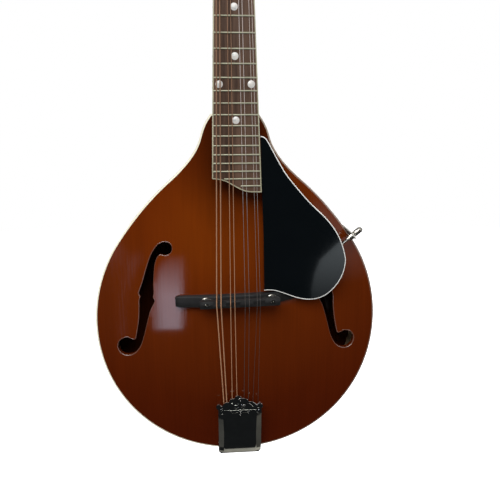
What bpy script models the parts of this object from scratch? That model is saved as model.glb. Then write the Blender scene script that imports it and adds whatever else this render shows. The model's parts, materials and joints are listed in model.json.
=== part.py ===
"""A teardrop mandolin with an arched top, two f-holes and four pairs of strings.

Lengths are in millimetres until at(), head() or a frame turns them into world metres.
A point is given as across (+ to the treble side), along (up the neck, 0 at the saddle)
and height (out of the front, 0 at the top's edge).
The world's +Z runs up the neck, the front faces -Y and the treble side is +X.
"""

import math

import bmesh
import bpy
from mathutils import Matrix, Vector

# Where the row's origin is: the centre of the end pin's outer face
SADDLE_Z = 164.0
EDGE_Y = -23.5

# Body
SCALE = 352.4
BODY_DEPTH = 47.0
PLATE = 4.5
RIM_WALL = 3.0
BINDING = 1.6
TAIL = -151.6
WAIST = -24.3
SIDE = 127.2
NECK_JOINT = 159.0
GAP = 0.3
THIN_GAP = 0.1
TOP_ARCH = (
    (0, 0), (0.05, -0.6), (0.12, 0.2), (0.25, 3.6),
    (0.4, 8.0), (0.6, 12.2), (0.8, 14.8), (0.94, 15.5),
)
TOP_INSIDE = (
    (0, -4.5), (0.1, -4.5), (0.14, -3.4), (0.25, -0.4),
    (0.4, 4.0), (0.6, 8.2), (0.8, 10.8), (0.94, 11.5),
)
BACK_SHARE = 0.84

# Neck and fretboard
BOARD_HEIGHT = 27.8
BOARD_SLOPE = 0.0718
BOARD_THICK = 5.5
NUT_WIDTH = 28.6
WIDTH_AT_22 = 41.8
FRETS = 22
HEAD_TILT = math.radians(18.1)
HEAD_WOOD = 15.0
HEAD_VENEER = 1.5

# Strings, bass to treble: radius, then across at the nut, the saddle and the hooks
STRINGS = (
    ("g_outer", 0.50, -12.2, -19.0, -12.6),
    ("g_inner", 0.50, -9.9, -15.3, -10.2),
    ("d_outer", 0.32, -4.8, -7.2, -6.0),
    ("d_inner", 0.32, -2.6, -3.6, -1.3),
    ("a_inner", 0.20, 2.9, 5.2, 4.3),
    ("a_outer", 0.20, 5.2, 8.7, 8.4),
    ("e_inner", 0.16, 10.1, 15.5, 12.0),
    ("e_outer", 0.16, 12.3, 18.1, 17.3),
)
SADDLE_TOP = 32.4
HOOK_ALONG = -124.0
HOOK_HEIGHT = 7.6

# Bridge
POST_ACROSS = (-27.5, 29.1)
BRIDGE_SKEW = math.radians(1.4)
POST_RADIUS = 1.5

# Tuners: distance down the head from the nut, axis heights behind its face
TUNER_FIRST = 30.0
TUNER_PITCH = 23.3
TUNER_ACROSS = 19.0
WORM_OFFSET = 7.6
WORM_DEPTH = -18.65

MM = 0.001


def clear_scene():
    for old in list(bpy.data.objects):
        bpy.data.objects.remove(old, do_unlink=True)


def collection(name):
    made = bpy.data.collections.new(name)
    bpy.context.scene.collection.children.link(made)
    return made


def material(name, colour, roughness, metallic=0.0):
    made = bpy.data.materials.new(name)
    made.use_nodes = True
    shader = made.node_tree.nodes["Principled BSDF"]
    shader.inputs["Base Color"].default_value = (*colour, 1.0)
    shader.inputs["Roughness"].default_value = roughness
    shader.inputs["Metallic"].default_value = metallic
    return made


def at(across, along, height):
    return Vector((across, EDGE_Y - height, along + SADDLE_Z)) / 1000


def board_height(along):
    return BOARD_HEIGHT - BOARD_SLOPE * along


def board_half(along):
    grow = (WIDTH_AT_22 - NUT_WIDTH) / (SCALE - fret_along(22))
    return (NUT_WIDTH + grow * (SCALE - along)) / 2


def fret_along(number):
    return SCALE * 2 ** (-number / 12)


NUT_BACK = SCALE + 3.4
HEAD_HEIGHT = board_height(NUT_BACK) - BOARD_THICK - 0.1


def head(across, down, lift):
    """A point by its distance from the nut along the head, and above the head's face."""
    along = NUT_BACK + down * math.cos(HEAD_TILT) + lift * math.sin(HEAD_TILT)
    height = HEAD_HEIGHT - down * math.sin(HEAD_TILT) + lift * math.cos(HEAD_TILT)
    return at(across, along, height)


def frame_of(origin, x_point, y_point):
    """A matrix whose X and Y point from the origin to two given points."""
    x = (x_point - origin).normalized()
    y = (y_point - origin).normalized()
    z = x.cross(y)
    turn = Matrix((x, y, z)).transposed().to_4x4()
    return Matrix.Translation(origin) @ turn


def link(name, mesh, skin, where, frame=None, smooth=40):
    made = bpy.data.objects.new(name, mesh)
    where.objects.link(made)
    if frame is not None:
        made.matrix_world = frame
    if skin is not None:
        mesh.materials.append(skin)
    if smooth:
        mesh.shade_smooth()
        mesh.set_sharp_from_angle(angle=math.radians(smooth))
    return made


def mesh_of(shape):
    bmesh.ops.recalc_face_normals(shape, faces=shape.faces)
    mesh = bpy.data.meshes.new("shape")
    shape.to_mesh(mesh)
    shape.free()
    return mesh


def loft(name, rings, skin, where, closed=False, frame=None, smooth=40):
    """Rings of equal count, joined in order: closed round, or capped at both ends."""
    shape = bmesh.new()
    rows = [[shape.verts.new(point) for point in ring] for ring in rings]
    count = len(rows[0])
    pairs = list(zip(rows, rows[1:]))
    if closed:
        pairs.append((rows[-1], rows[0]))
    for low, high in pairs:
        for k in range(count):
            after = (k + 1) % count
            shape.faces.new((low[k], low[after], high[after], high[k]))
    if not closed:
        shape.faces.new(rows[0])
        shape.faces.new(rows[-1])
    return link(name, mesh_of(shape), skin, where, frame, smooth)


def slab(name, points, low, high, skin, where, place=at, smooth=40):
    """A flat outline of (across, along) points between two heights."""
    rings = [[place(x, y, z) for x, y in points] for z in (low, high)]
    return loft(name, rings, skin, where, smooth=smooth)


def box(name, low, high, skin, where, place=at):
    points = [(low[0], low[1]), (high[0], low[1]), (high[0], high[1]), (low[0], high[1])]
    return slab(name, points, low[2], high[2], skin, where, place, smooth=0)


def turned(name, profile, frame, skin, where, steps=16):
    """A (radius, z) profile, from top to bottom, turned about the frame's Z."""
    mesh = bpy.data.meshes.new(name)
    points = [(radius * MM, 0, z * MM) for radius, z in profile]
    edges = [(k, k + 1) for k in range(len(points) - 1)]
    mesh.from_pydata(points, edges, [])
    made = link(name, mesh, skin, where, frame, smooth=0)
    screw = made.modifiers.new("turn", "SCREW")
    screw.steps = steps
    screw.render_steps = steps
    screw.use_merge_vertices = True
    screw.merge_threshold = 0.00001
    return made


def rod(name, points, radius, skin, where, sides=2):
    """A round bar through world points, with flat ends."""
    curve = bpy.data.curves.new(name, "CURVE")
    curve.dimensions = "3D"
    curve.bevel_depth = radius
    curve.bevel_resolution = sides
    curve.use_fill_caps = True
    line = curve.splines.new("POLY")
    line.points.add(len(points) - 1)
    for spot, point in zip(line.points, points):
        spot.co = (*point, 1.0)
    curve.materials.append(skin)
    made = bpy.data.objects.new(name, curve)
    where.objects.link(made)
    return made


def solid(made):
    """The object as a plain mesh with its modifiers applied and its caps welded."""
    graph = bpy.context.evaluated_depsgraph_get()
    mesh = bpy.data.meshes.new_from_object(made.evaluated_get(graph))
    shape = bmesh.new()
    shape.from_mesh(mesh)
    bmesh.ops.remove_doubles(shape, verts=shape.verts, dist=0.000001)
    bmesh.ops.recalc_face_normals(shape, faces=shape.faces)
    shape.to_mesh(mesh)
    shape.free()
    name = made.name
    frame = made.matrix_world.copy()
    where = made.users_collection[0]
    bpy.data.objects.remove(made, do_unlink=True)
    new = bpy.data.objects.new(name, mesh)
    where.objects.link(new)
    new.matrix_world = frame
    return new


def combine(target, tools, operation):
    """Applies Booleans in order; each tool is used up."""
    for tool in tools:
        bool_mod = target.modifiers.new("cut", "BOOLEAN")
        bool_mod.operation = operation
        bool_mod.object = tool
        bool_mod.solver = "EXACT"
        bpy.context.view_layer.update()
        graph = bpy.context.evaluated_depsgraph_get()
        mesh = bpy.data.meshes.new_from_object(target.evaluated_get(graph))
        target.modifiers.clear()
        target.data = mesh
        bpy.data.objects.remove(tool, do_unlink=True)
    return target


def bezier(start, pull_start, pull_end, end, steps):
    """Points of a cubic curve, without its last one."""
    points = []
    for k in range(steps):
        t = k / steps
        u = 1 - t
        weights = (u**3, 3 * u * u * t, 3 * u * t * t, t**3)
        corners = (start, pull_start, pull_end, end)
        points.append(tuple(sum(w * c[i] for w, c in zip(weights, corners)) for i in (0, 1)))
    return points


def through(points, steps, closed=True):
    """A smooth curve through the given points."""
    made = []
    count = len(points)
    last = count if closed else count - 1
    for k in range(last):
        if closed:
            p = [points[(k + d) % count] for d in (-1, 0, 1, 2)]
        else:
            p = [points[min(max(k + d, 0), count - 1)] for d in (-1, 0, 1, 2)]
        pull_start = tuple(p[1][i] + (p[2][i] - p[0][i]) / 6 for i in (0, 1))
        pull_end = tuple(p[2][i] - (p[3][i] - p[1][i]) / 6 for i in (0, 1))
        made += bezier(p[1], pull_start, pull_end, p[2], steps)
    return made if closed else made + [points[-1]]


def offset(points, inset):
    """A closed outline moved inwards by inset, corner by corner."""
    moved = []
    count = len(points)
    for k in range(count):
        before, here, after = points[k - 1], points[k], points[(k + 1) % count]
        one = Vector((here[0] - before[0], here[1] - before[1])).normalized()
        two = Vector((after[0] - here[0], after[1] - here[1])).normalized()
        inward = Vector((-one.y, one.x)) + Vector((-two.y, two.x))
        inward.normalize()
        grow = inset / max(0.3, inward.dot(Vector((-one.y, one.x))))
        moved.append((here[0] + inward.x * grow, here[1] + inward.y * grow))
    return moved


def body_outline():
    """The teardrop, anticlockwise from the tail."""
    half = bezier((0, TAIL), (72, TAIL), (SIDE, WAIST - 72), (SIDE, WAIST), 10)
    half += bezier((SIDE, WAIST), (SIDE, 2.1), (119.0, 27.9), (103.7, 49.4), 5)
    half += bezier((103.7, 49.4), (88.6, 70.6), (73.2, 88.0), (54.8, 105.0), 4)
    half += bezier((54.8, 105.0), (43.8, 115.2), (34.4, 126.6), (31.0, 137.0), 4)
    half += [(31.0, 137.0), (23.0, NECK_JOINT)]
    return half + [(-x, y) for x, y in reversed(half[1:])]


OUTLINE = body_outline()
CENTRE = (0.0, -15.0)
TOP_EDGE = offset(OUTLINE, BINDING + THIN_GAP)


def between(table, share):
    for (s0, v0), (s1, v1) in zip(table, table[1:]):
        if share <= s1:
            return v0 + (v1 - v0) * (share - s0) / (s1 - s0)
    return table[-1][1]


def share_at(across, along):
    """0 on the plate's edge and 1 at the centre of its arch."""
    dx, dy = across - CENTRE[0], along - CENTRE[1]
    reach = 0.0
    for k in range(len(TOP_EDGE)):
        ax, ay = TOP_EDGE[k - 1][0] - CENTRE[0], TOP_EDGE[k - 1][1] - CENTRE[1]
        bx, by = TOP_EDGE[k][0] - CENTRE[0], TOP_EDGE[k][1] - CENTRE[1]
        span = (bx - ax) * dy - (by - ay) * dx
        if abs(span) < 1e-9:
            continue
        u = (ay * dx - ax * dy) / span
        t = (ay * (bx - ax) - ax * (by - ay)) / span
        if -1e-6 <= u <= 1 + 1e-6 and t > 0:
            reach = max(reach, 1 / t)
    return 1 - reach


def top_height(across, along):
    return between(TOP_ARCH, share_at(across, along))


def inside_height(across, along):
    return between(TOP_INSIDE, share_at(across, along))


def scaled(points, share):
    """An outline drawn in towards the arch's centre."""
    left = 1 - share
    return [(CENTRE[0] + (x - CENTRE[0]) * left, CENTRE[1] + (y - CENTRE[1]) * left) for x, y in points]


def plate_rings(outside, inside, turn_over):
    rings = []
    for table in (list(reversed(inside)), outside):
        for share, height in table:
            if turn_over:
                base = 0.0 if table is outside else PLATE
                z = base - BODY_DEPTH - (height + base) * BACK_SHARE
            else:
                z = height
            rings.append([at(x, y, z) for x, y in scaled(TOP_EDGE, share)])
    return rings


F_HOLE = (
    (-62.6, 50.6), (-68.2, 48.6), (-72.7, 43.5), (-75.9, 37.6), (-78.7, 30.3), (-81.5, 21.5),
    (-84.0, 13.6), (-87.2, 5.4), (-84.9, 1.8), (-87.0, -1.2), (-87.3, -9.4), (-88.3, -20.2),
    (-90.2, -30.3), (-92.1, -37.4), (-95.6, -37.2), (-99.6, -35.8), (-105.8, -38.4), (-108.4, -44.4),
    (-105.9, -50.8), (-99.8, -53.4), (-92.4, -50.6), (-87.2, -43.7), (-84.2, -35.7), (-81.4, -25.5),
    (-79.2, -17.7), (-76.8, -10.0), (-72.9, -2.0), (-75.4, 1.4), (-73.5, 5.2), (-73.6, 13.3),
    (-72.9, 22.2), (-72.0, 29.6), (-69.9, 36.1), (-67.0, 39.2), (-62.4, 38.4), (-57.9, 40.6),
    (-56.2, 44.8), (-58.0, 49.0),
)


def make_body(skins, parts, helpers):
    top = loft("top_plate", plate_rings(TOP_ARCH, TOP_INSIDE, False), skins["top"], parts)
    holes = []
    for side in (1, -1):
        points = [(side * x, y) for x, y in F_HOLE]
        holes.append(slab("f_hole", points, -12, 24, None, helpers))
    combine(top, holes, "DIFFERENCE")
    loft("back_plate", plate_rings(TOP_ARCH, TOP_INSIDE, True), skins["side"], parts)

    rim_low, rim_high = -BODY_DEPTH + PLATE + THIN_GAP, -PLATE - THIN_GAP
    section = ((0, rim_low), (RIM_WALL, rim_low), (RIM_WALL, rim_high), (0, rim_high))
    ring_of("rim", section, skins["side"], parts)
    section = ((0, -PLATE), (BINDING, -PLATE), (BINDING, 0), (0, 0))
    ring_of("top_binding", section, skins["cream"], parts)
    low = -BODY_DEPTH
    section = ((0, low), (BINDING, low), (BINDING, low + PLATE), (0, low + PLATE))
    ring_of("back_binding", section, skins["cream"], parts)
    near = RIM_WALL + THIN_GAP
    far = near + 5
    step = rim_high - 8
    section = ((near, step), (near + 1, step), (far, rim_high - 1), (far, rim_high), (near, rim_high))
    ring_of("top_lining", section, skins["bare"], parts)
    step = rim_low + 8
    section = ((near, rim_low), (far, rim_low), (far, rim_low + 1), (near + 1, step), (near, step))
    ring_of("back_lining", section, skins["bare"], parts)

    inner = near + 5 + GAP
    wide = offset(OUTLINE, inner)
    neck_end = max(y for x, y in wide)
    block = [(24, neck_end - 44), (19, neck_end - 12), (12.5, neck_end)]
    block += [(-x, y) for x, y in reversed(block)]
    slab("head_block", block, rim_low + GAP, rim_high - GAP, skins["bare"], parts, smooth=0)
    low_end = min(y for x, y in wide)
    block = [(0, low_end), (14, low_end + 0.9), (27, low_end + 4.2), (27, low_end + 18)]
    block += [(-x, y) for x, y in reversed(block[1:])]
    tail_block = slab("tail_block", block, rim_low + GAP, rim_high - GAP, skins["bare"], parts, smooth=0)
    bore = hole_along("tail_bore", 0, -BODY_DEPTH / 2, low_end - 5, low_end + 25, 3.9, helpers)
    combine(tail_block, [bore], "DIFFERENCE")
    bore = hole_along("rim_bore", 0, -BODY_DEPTH / 2, TAIL - 5, TAIL + 6, 3.9, helpers)
    combine(bpy.data.objects["rim"], [bore], "DIFFERENCE")

    for side, name in ((-1, "tone_bar_bass"), (1, "tone_bar_treble")):
        stations = []
        for k in range(9):
            along = -112 + 26.3 * k
            across = side * (30 - 6 * k / 8) * (1 if k < 7 else 0.9)
            roof = min(inside_height(across + dx, along) for dx in (-3, 0, 3)) - GAP
            low = roof - 9 * math.sin(math.pi * (0.12 + 0.76 * k / 8))
            section = ((-3, low), (3, low), (3, roof), (-3, roof))
            stations.append([at(across + dx, along, z) for dx, z in section])
        loft(name, stations, skins["bare"], parts, smooth=0)


def ring_of(name, section, skin, where):
    """A section of (inset, height) points carried round the body's outline."""
    rings = [[at(x, y, z) for x, y in offset(OUTLINE, inset)] for inset, z in section]
    return loft(name, rings, skin, where, closed=True)


def hole_along(name, across, height, low, high, radius, where, sides=20):
    ring = [(math.cos(2 * math.pi * k / sides), math.sin(2 * math.pi * k / sides)) for k in range(sides)]
    rings = []
    for along in (low, high):
        rings.append([at(across + radius * c, along, height + radius * s) for c, s in ring])
    return loft(name, rings, None, where)


def neck_section(along, half, roof, floor):
    """A D-shaped section across the neck."""
    deep = roof - floor
    shape = ((1, 0), (1, 0.3), (0.93, 0.52), (0.76, 0.76), (0.46, 0.94), (0, 1))
    right = [(half * u, roof - deep * v) for u, v in shape]
    left = [(-x, z) for x, z in reversed(right[:-1])]
    return [at(x, along, z) for x, z in right + left]


def head_outline():
    half = bezier((15.2, 0), (15.2, 8), (20, 12), (29, 16), 4)
    half += bezier((29, 16), (33, 18), (33.6, 22), (33.2, 30), 3)
    half += bezier((33.2, 30), (32, 60), (30.5, 85), (31.5, 112), 2)
    half += bezier((31.5, 112), (32, 122), (35, 126), (36.5, 133), 3)
    half += bezier((36.5, 133), (37.5, 141), (28, 143), (22, 139), 4)
    half += bezier((22, 139), (16, 136), (10, 139), (0, 151), 4)
    half.append((0, 151))
    return half + [(-x, y) for x, y in reversed(half[:-1])]


def make_neck(skins, parts, helpers):
    def wood_roof(along):
        return board_height(along) - BOARD_THICK - 0.1

    body_end = NECK_JOINT + THIN_GAP
    stations = (
        (body_end, 19.0, -46.0), (166, 18.6, -45.6), (171, 18.4, -41), (176, 18.3, -31), (182, 18.2, -19),
        (190, 18.0, -11.5), (202, 17.7, -8.2), (230, 17.0, -9.2), (290, 15.4, -11.2), (342, 14.4, -13.6),
        (NUT_BACK, 14.6, -17.6),
    )
    shaft = [neck_section(y, half, wood_roof(y), floor) for y, half, floor in stations]
    neck = loft("neck", shaft, skins["side"], parts)
    wings = head_outline()
    wings = [(x, y - 2.0 if y < 0.5 else y) for x, y in wings]
    slope = slab("head_wood", wings, -HEAD_WOOD, -HEAD_VENEER - 0.1, skins["side"], helpers, place=head)
    reach = []
    for along, floor in ((body_end + 1, 0.5), (150, 1.2), (130, 6.0), (112, 9.4)):
        roof = wood_roof(along)
        reach.append([at(x, along, z) for x, z in ((-18, floor), (18, floor), (18, roof), (-18, roof))])
    rest = loft("head_rest", reach, skins["side"], helpers)
    combine(neck, [slope, rest], "UNION")
    cuts = []
    for across in (-TUNER_ACROSS, TUNER_ACROSS):
        for k in range(4):
            cuts.append(post_hole(across, k, -HEAD_WOOD - 3, 2, helpers))
    rings = []
    for y, low in ((146, wood_roof(146) - 7.2), (NUT_BACK + 12, wood_roof(NUT_BACK) - 9.8)):
        rings.append([at(-3.2, y, low), at(3.2, y, low), at(3.2, y, low + 14), at(-3.2, y, low + 14)])
    cuts.append(loft("rod_channel", rings, None, helpers))
    combine(neck, cuts, "DIFFERENCE")

    veneer = [(x, 1.2 if y < 0.5 else y) for x, y in head_outline()]
    face = slab("headplate", veneer, -HEAD_VENEER, 0, skins["ebony"], parts, place=head)
    sides = (-TUNER_ACROSS, TUNER_ACROSS)
    cuts = [post_hole(across, k, -5, 3, helpers) for across in sides for k in range(4)]
    cuts.append(box("rod_pocket", (-3.6, -3, -6), (3.6, 13, 5), None, helpers, place=head))
    combine(face, cuts, "DIFFERENCE")

    low, middle, high = wood_roof(150) - 4.2, wood_roof(250) - 4.9, wood_roof(NUT_BACK) - 5.6
    bow = [at(0, 150, low), at(0, 250, middle), at(0, NUT_BACK + 1, high)]
    rod("truss_rod", bow, 0.0018, skins["steel"], parts, 1)
    start = at(0, NUT_BACK + 1.6, high)
    frame = frame_of(start, at(1, NUT_BACK + 1.6, high), start + Vector((0, 1, 0)))
    turned("truss_rod_nut", ((0, 7), (2.6, 7), (2.6, 0), (0, 0)), frame, skins["brass"], parts, 6)
    cover = [(-5, 0.6), (5, 0.6), (8.6, 5), (8.0, 13), (5, 18), (0, 26), (-5, 18), (-8.0, 13), (-8.6, 5)]
    slab("truss_rod_cover", cover, THIN_GAP, 2.3, skins["black"], parts, place=head)


def post_hole(across, k, low, high, where, radius=3.15):
    down = TUNER_FIRST + TUNER_PITCH * k
    ring = [(math.cos(2 * math.pi * j / 12), math.sin(2 * math.pi * j / 12)) for j in range(12)]
    rings = [[head(across + radius * c, down + radius * s, z) for c, s in ring] for z in (low, high)]
    return loft("post_hole", rings, None, where)


BOARD_END = (
    (-20.58, 104.9), (-17.3, 104.5), (-13.2, 103.8), (-9.1, 102.5), (-4.9, 100.2),
    (0, 97.4), (5, 94.9), (10, 93.7), (15.1, 93.4), (20.86, 93.4),
)


def board_outline(inset):
    nut_end = SCALE - 0.1
    half = board_half(nut_end)
    moved = offset(list(BOARD_END) + [(half, nut_end), (-half, nut_end)], inset)
    return moved[:-2] + [(half - inset, nut_end), (inset - half, nut_end)]


def make_fretboard(skins, parts, helpers):
    trim = 1.2
    inner = board_outline(trim + 0.1)
    board = wedge("fretboard", inner, BOARD_THICK, 0.0, skins["rosewood"], parts)
    frets = []
    for number in range(1, FRETS + 1):
        along = fret_along(number)
        left = {21: -8.6, 22: 4.4}.get(number, -(board_half(along) - trim - 0.3))
        right = board_half(along) - trim - 0.3
        roof = board_height(along)
        section = ((-1, -1.5), (1, -1.5), (1, 0.4), (0.4, 1.0), (-0.4, 1.0), (-1, 0.4))
        rings = [[at(x, along + dy, roof + dz) for dy, dz in section] for x in (left, right)]
        frets.append(loft("fret", rings, skins["steel"], helpers))
    combine(board, frets, "UNION")
    outer = board_outline(0.0)
    shell = wedge("fretboard_binding", outer, BOARD_THICK, 0.0, skins["cream"], parts)
    core = [(x, y + (30 if y > 300 else 0)) for x, y in board_outline(trim)]
    core = wedge("board_core", core, BOARD_THICK + 4, 4.0, None, helpers)
    combine(shell, [core], "DIFFERENCE")

    ends = (SCALE + 0.2, SCALE + 3.4 - 0.2)
    rings = []
    for along in ends:
        low = board_height(along) - BOARD_THICK + 0.2
        corners = ((-14.3, low), (14.3, low), (14.3, low + 6.6), (-14.3, low + 6.6))
        rings.append([at(x, along, z) for x, z in corners])
    loft("nut", rings, skins["bone"], parts, smooth=0)


def wedge(name, points, thick, raise_by, skin, where):
    rings = []
    for drop in (thick, 0):
        lift = raise_by if drop == 0 else -drop
        rings.append([at(x, y, board_height(y) + lift) for x, y in points])
    return loft(name, rings, skin, where, smooth=0)


def skewed(across, along, height):
    """The bridge sits a little askew, with its bass end nearer the tail."""
    c, s = math.cos(BRIDGE_SKEW), math.sin(BRIDGE_SKEW)
    return at(across * c - along * s, across * s + along * c, height)


def make_bridge(skins, parts, helpers):
    wings = (
        (-54.6, 4.0, 4.4), (-51.5, 5.0, 4.9), (-40, 5.0, 5.0), (-32, 5.0, 6.3),
        (-14, 5.0, 7.2), (0, 5.0, 6.6),
        (14, 5.0, 7.2), (34, 5.0, 5.0), (39, 4.5, 2.4), (47, 3.2, 2.2), (55.5, 1.2, 2.0),
    )
    stations = []
    finer = []
    for low, high in zip(wings, wings[1:]):
        parts_of = max(1, round((high[0] - low[0]) / 7))
        for k in range(parts_of):
            finer.append(tuple(a + (b - a) * k / parts_of for a, b in zip(low, high)))
    for across, half, thick in finer + [wings[-1]]:
        floor = max(top_height(across, along) for along in (-4, 0, 4)) + 0.25
        roof = floor + thick
        top = half - 1
        edge = roof - 1
        section = ((-half, floor), (half, floor), (half, edge), (top, roof), (-top, roof), (-half, edge))
        stations.append([skewed(across, along, z) for along, z in section])
    base = loft("bridge_base", stations, skins["ebony"], parts, smooth=0)

    rings = []
    for across, low, high in (
        (-33.2, 29.0, 31.4), (-32, 26.2, 32.0), (-30, 25.4, 32.2), (-22.5, 25.2, 32.3), (-20, 28.0, 32.3),
        (20, 28.0, 32.3), (23, 25.2, 32.3), (32, 25.4, 32.2), (34, 26.2, 32.0), (35.4, 29.0, 31.4),
    ):
        edge, roof = high - 1.2, high - 0.2
        section = ((-3.4, low), (3.4, low), (3.4, edge), (1.4, roof), (-1.4, roof), (-3.4, edge))
        rings.append([skewed(across, along, z) for along, z in section])
    saddle = loft("bridge_saddle", rings, skins["ebony"], parts, smooth=0)

    for across, name in zip(POST_ACROSS, ("bass", "treble")):
        foot = skewed(across, 0, 17.0)
        frame = frame_of(foot, skewed(across + 1, 0, 17.0), skewed(across, 1, 17.0))
        blind = turned("blind", ((0, 16), (1.6, 16), (1.6, -1.7), (0, -1.7)), frame, None, helpers, 12)
        combine(base, [solid(blind)], "DIFFERENCE")
        bore = turned("bore", ((0, 20), (1.6, 20), (1.6, 0), (0, 0)), frame, None, helpers, 12)
        combine(saddle, [solid(bore)], "DIFFERENCE")
        profile = ((0, 14.6), (POST_RADIUS, 14.6), (POST_RADIUS, -1.4), (0, -1.4))
        turned(f"bridge_post_{name}", profile, frame, skins["nickel"], parts, 12)
        profile = ((1.6, 8.0), (4.6, 8.0), (5.0, 7.6), (5.0, 6.0), (4.6, 5.6), (1.6, 5.6), (1.6, 8.0))
        turned(f"bridge_wheel_{name}", profile, frame, skins["nickel"], parts, 20)


def make_tailpiece(skins, parts, helpers):
    middle = 0.6
    profile = ((-122.5, 5.4), (-135, 5.0), (-147, 3.0), (-152.0, 1.6), (-153.1, 0.2), (-153.1, -34.0))
    rings = []
    for k, (along, height) in enumerate(profile):
        folded = k >= 4
        inner = (along + (1.1 if folded else 0), height)
        outer = (along - (0.1 if folded else 0), height + (0.6 if k == 4 else 0 if folded else 1.2))
        corners = ((-16, inner), (16, inner), (16, outer), (-16, outer))
        rings.append([at(middle + x, *point) for x, point in corners])
    base = loft("tailpiece_base", rings, skins["chrome"], parts, smooth=0)
    bar = box("bar", (middle - 15.5, -124.4, 5.0), (middle + 17.6, -122.3, 6.4), None, helpers)
    combine(base, [bar], "UNION")
    combine(base, [hole_along("pin_hole", 0, -BODY_DEPTH / 2, -160, -148, 3.9, helpers)], "DIFFERENCE")

    stations = (
        (-106, 16.4, 9.4), (-116, 16.0, 6.0), (-130, 14.2, 3.0), (-142, 11.6, 1.2),
        (-150, 9.0, 0.5), (-153.4, 7.0, 0.5), (-155.6, 4.0, 0.5),
    )
    for name, inset in (("tailpiece_cover", 0.0), ("cover_hollow", 1.0)):
        rings = []
        for along, roof, floor in stations:
            if inset and along < -155:
                continue
            top = roof - inset
            low = floor - 3 * inset
            along += 3 * inset if along > -107 else 0
            along -= 0.9 * inset if along < -153 else 0
            side = 19.9 - inset
            half = ((side, low), (side, top - 3.2), (side - 1, top - 1.6), (16.0 - inset, top))
            shape = [(-side, low), *half] + [(-x, z) for x, z in reversed(half[1:])]
            rings.append([at(middle + x, along, z) for x, z in shape])
        loft(name, rings, skins["chrome"], helpers if inset else parts)
    cover = bpy.data.objects["tailpiece_cover"]
    skirt = box("skirt", (middle - 18.5, -155.6, -9), (middle + 18.5, -154.4, 3.6), None, helpers)
    crest = (
        (0.0, -91.8), (2.6, -92.4), (5.0, -94.2), (8.4, -95.6), (11.6, -98.4), (15.4, -100.4),
        (18.6, -99.4), (21.0, -101.0), (21.4, -103.8), (19.6, -106.4), (19.4, -109.0), (0, -109.0),
    )
    crest = list(crest) + [(-x, y) for x, y in reversed(crest[1:-1])]
    crest = slab("crest", [(middle + x, y) for x, y in crest], 15.3, 16.4, None, helpers)
    combine(cover, [bpy.data.objects["cover_hollow"]], "DIFFERENCE")
    combine(cover, [skirt, crest], "UNION")

    centre = -BODY_DEPTH / 2
    frame = frame_of(at(0, -SADDLE_Z, centre), at(1, -SADDLE_Z, centre), at(0, -SADDLE_Z, centre + 1))
    frame = frame @ Matrix.Rotation(math.pi, 4, "X")
    profile = (
        (0, 26), (3.4, 26), (3.8, 10.4), (5.2, 10.4),
        (4.4, 6), (6.0, 2.6), (6.0, 1.0), (5.0, 0), (0, 0),
    )
    turned("end_pin", profile, frame, skins["black"], parts, 20)


GUARD = (
    (20.5, 139.9), (25.2, 137.6), (31.7, 126.4), (38.1, 114.8), (45.3, 104.1), (61.4, 85.4),
    (78.5, 68.6), (88.6, 54.0), (94.4, 37.4), (94.4, 27.4), (91.4, 17.8), (85.9, 9.3),
    (78.5, 2.6), (70.6, -0.9), (62.4, -1.7), (54.4, -0.5), (47.5, 1.7), (33.9, 6.8),
    (27.2, 7.8), (22.9, 7.6), (22.5, 54.5), (21.4, 93.0),
)


def guard_height(across, along):
    return 17.2 + 0.015 * (140 - along) - 0.01 * (across - 22)


def make_guard(skins, parts, helpers):
    rings = []
    for drop in (2.2, 0):
        rings.append([at(x, y, guard_height(x, y) - drop) for x, y in GUARD])
    guard = loft("pickguard", rings, skins["black"], parts, smooth=0)
    block = box("block", (86.5, 39.5, 10.0), (92.5, 46.5, guard_height(92, 40) - 1.0), None, helpers)
    combine(guard, [block], "UNION")

    start = Vector((89.5, 44.3, 12.8))
    out = Vector((0.80, 0.60, -0.10)).normalized()

    def bar(name, low, high, radius, skin, where=parts, steps=12, bore=0.0):
        here = at(*(start + out * low))
        ahead = (at(*(start + out * (low + 1))) - here).normalized()
        frame = Matrix.Translation(here) @ ahead.to_track_quat("Z", "Y").to_matrix().to_4x4()
        length = high - low
        profile = [(bore, length), (radius, length), (radius, 0), (bore, 0)]
        if bore:
            profile.append((bore, length))
        return turned(name, profile, frame, skin, where, steps)

    socket = solid(bar("socket", 1.0, 9, 1.6, None, helpers))
    combine(guard, [socket], "DIFFERENCE")
    bar("clamp_rod", 1.3, 26.0, 1.5, skins["chrome"])
    bar("clamp_barrel", 17.3, 24.7, 3.2, skins["chrome"], bore=1.55, steps=12)

    side = Vector((-out.y, out.x, 0)).normalized()
    face = start + out * 15.8
    face.z = 0.0
    flat = Vector((out.x, out.y, 0)).normalized()
    shape = ((-3.2, 15), (3.2, 15), (4.6, 8), (8, -2), (8, -49.2), (-5, -49.2), (-5, -2), (-4.2, 8))
    rings = []
    for far in (-0.1, 0.85):
        rings.append([at(*(face + flat * far + side * u + Vector((0, 0, z)))) for u, z in shape])
    foot = loft("clamp_foot", rings, skins["nickel"], parts, smooth=0)
    hook = ((-4.6, -47.9), (7.6, -47.9), (7.6, -49.1), (-4.6, -49.1))
    rings = []
    for far in (-7.0, 0.6):
        rings.append([at(*(face + flat * far + side * u + Vector((0, 0, z)))) for u, z in hook])
    tongue = loft("tongue", rings, None, helpers, smooth=0)
    combine(foot, [tongue], "UNION")
    combine(foot, [solid(bar("eye", 10, 20, 1.8, None, helpers))], "DIFFERENCE")


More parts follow.
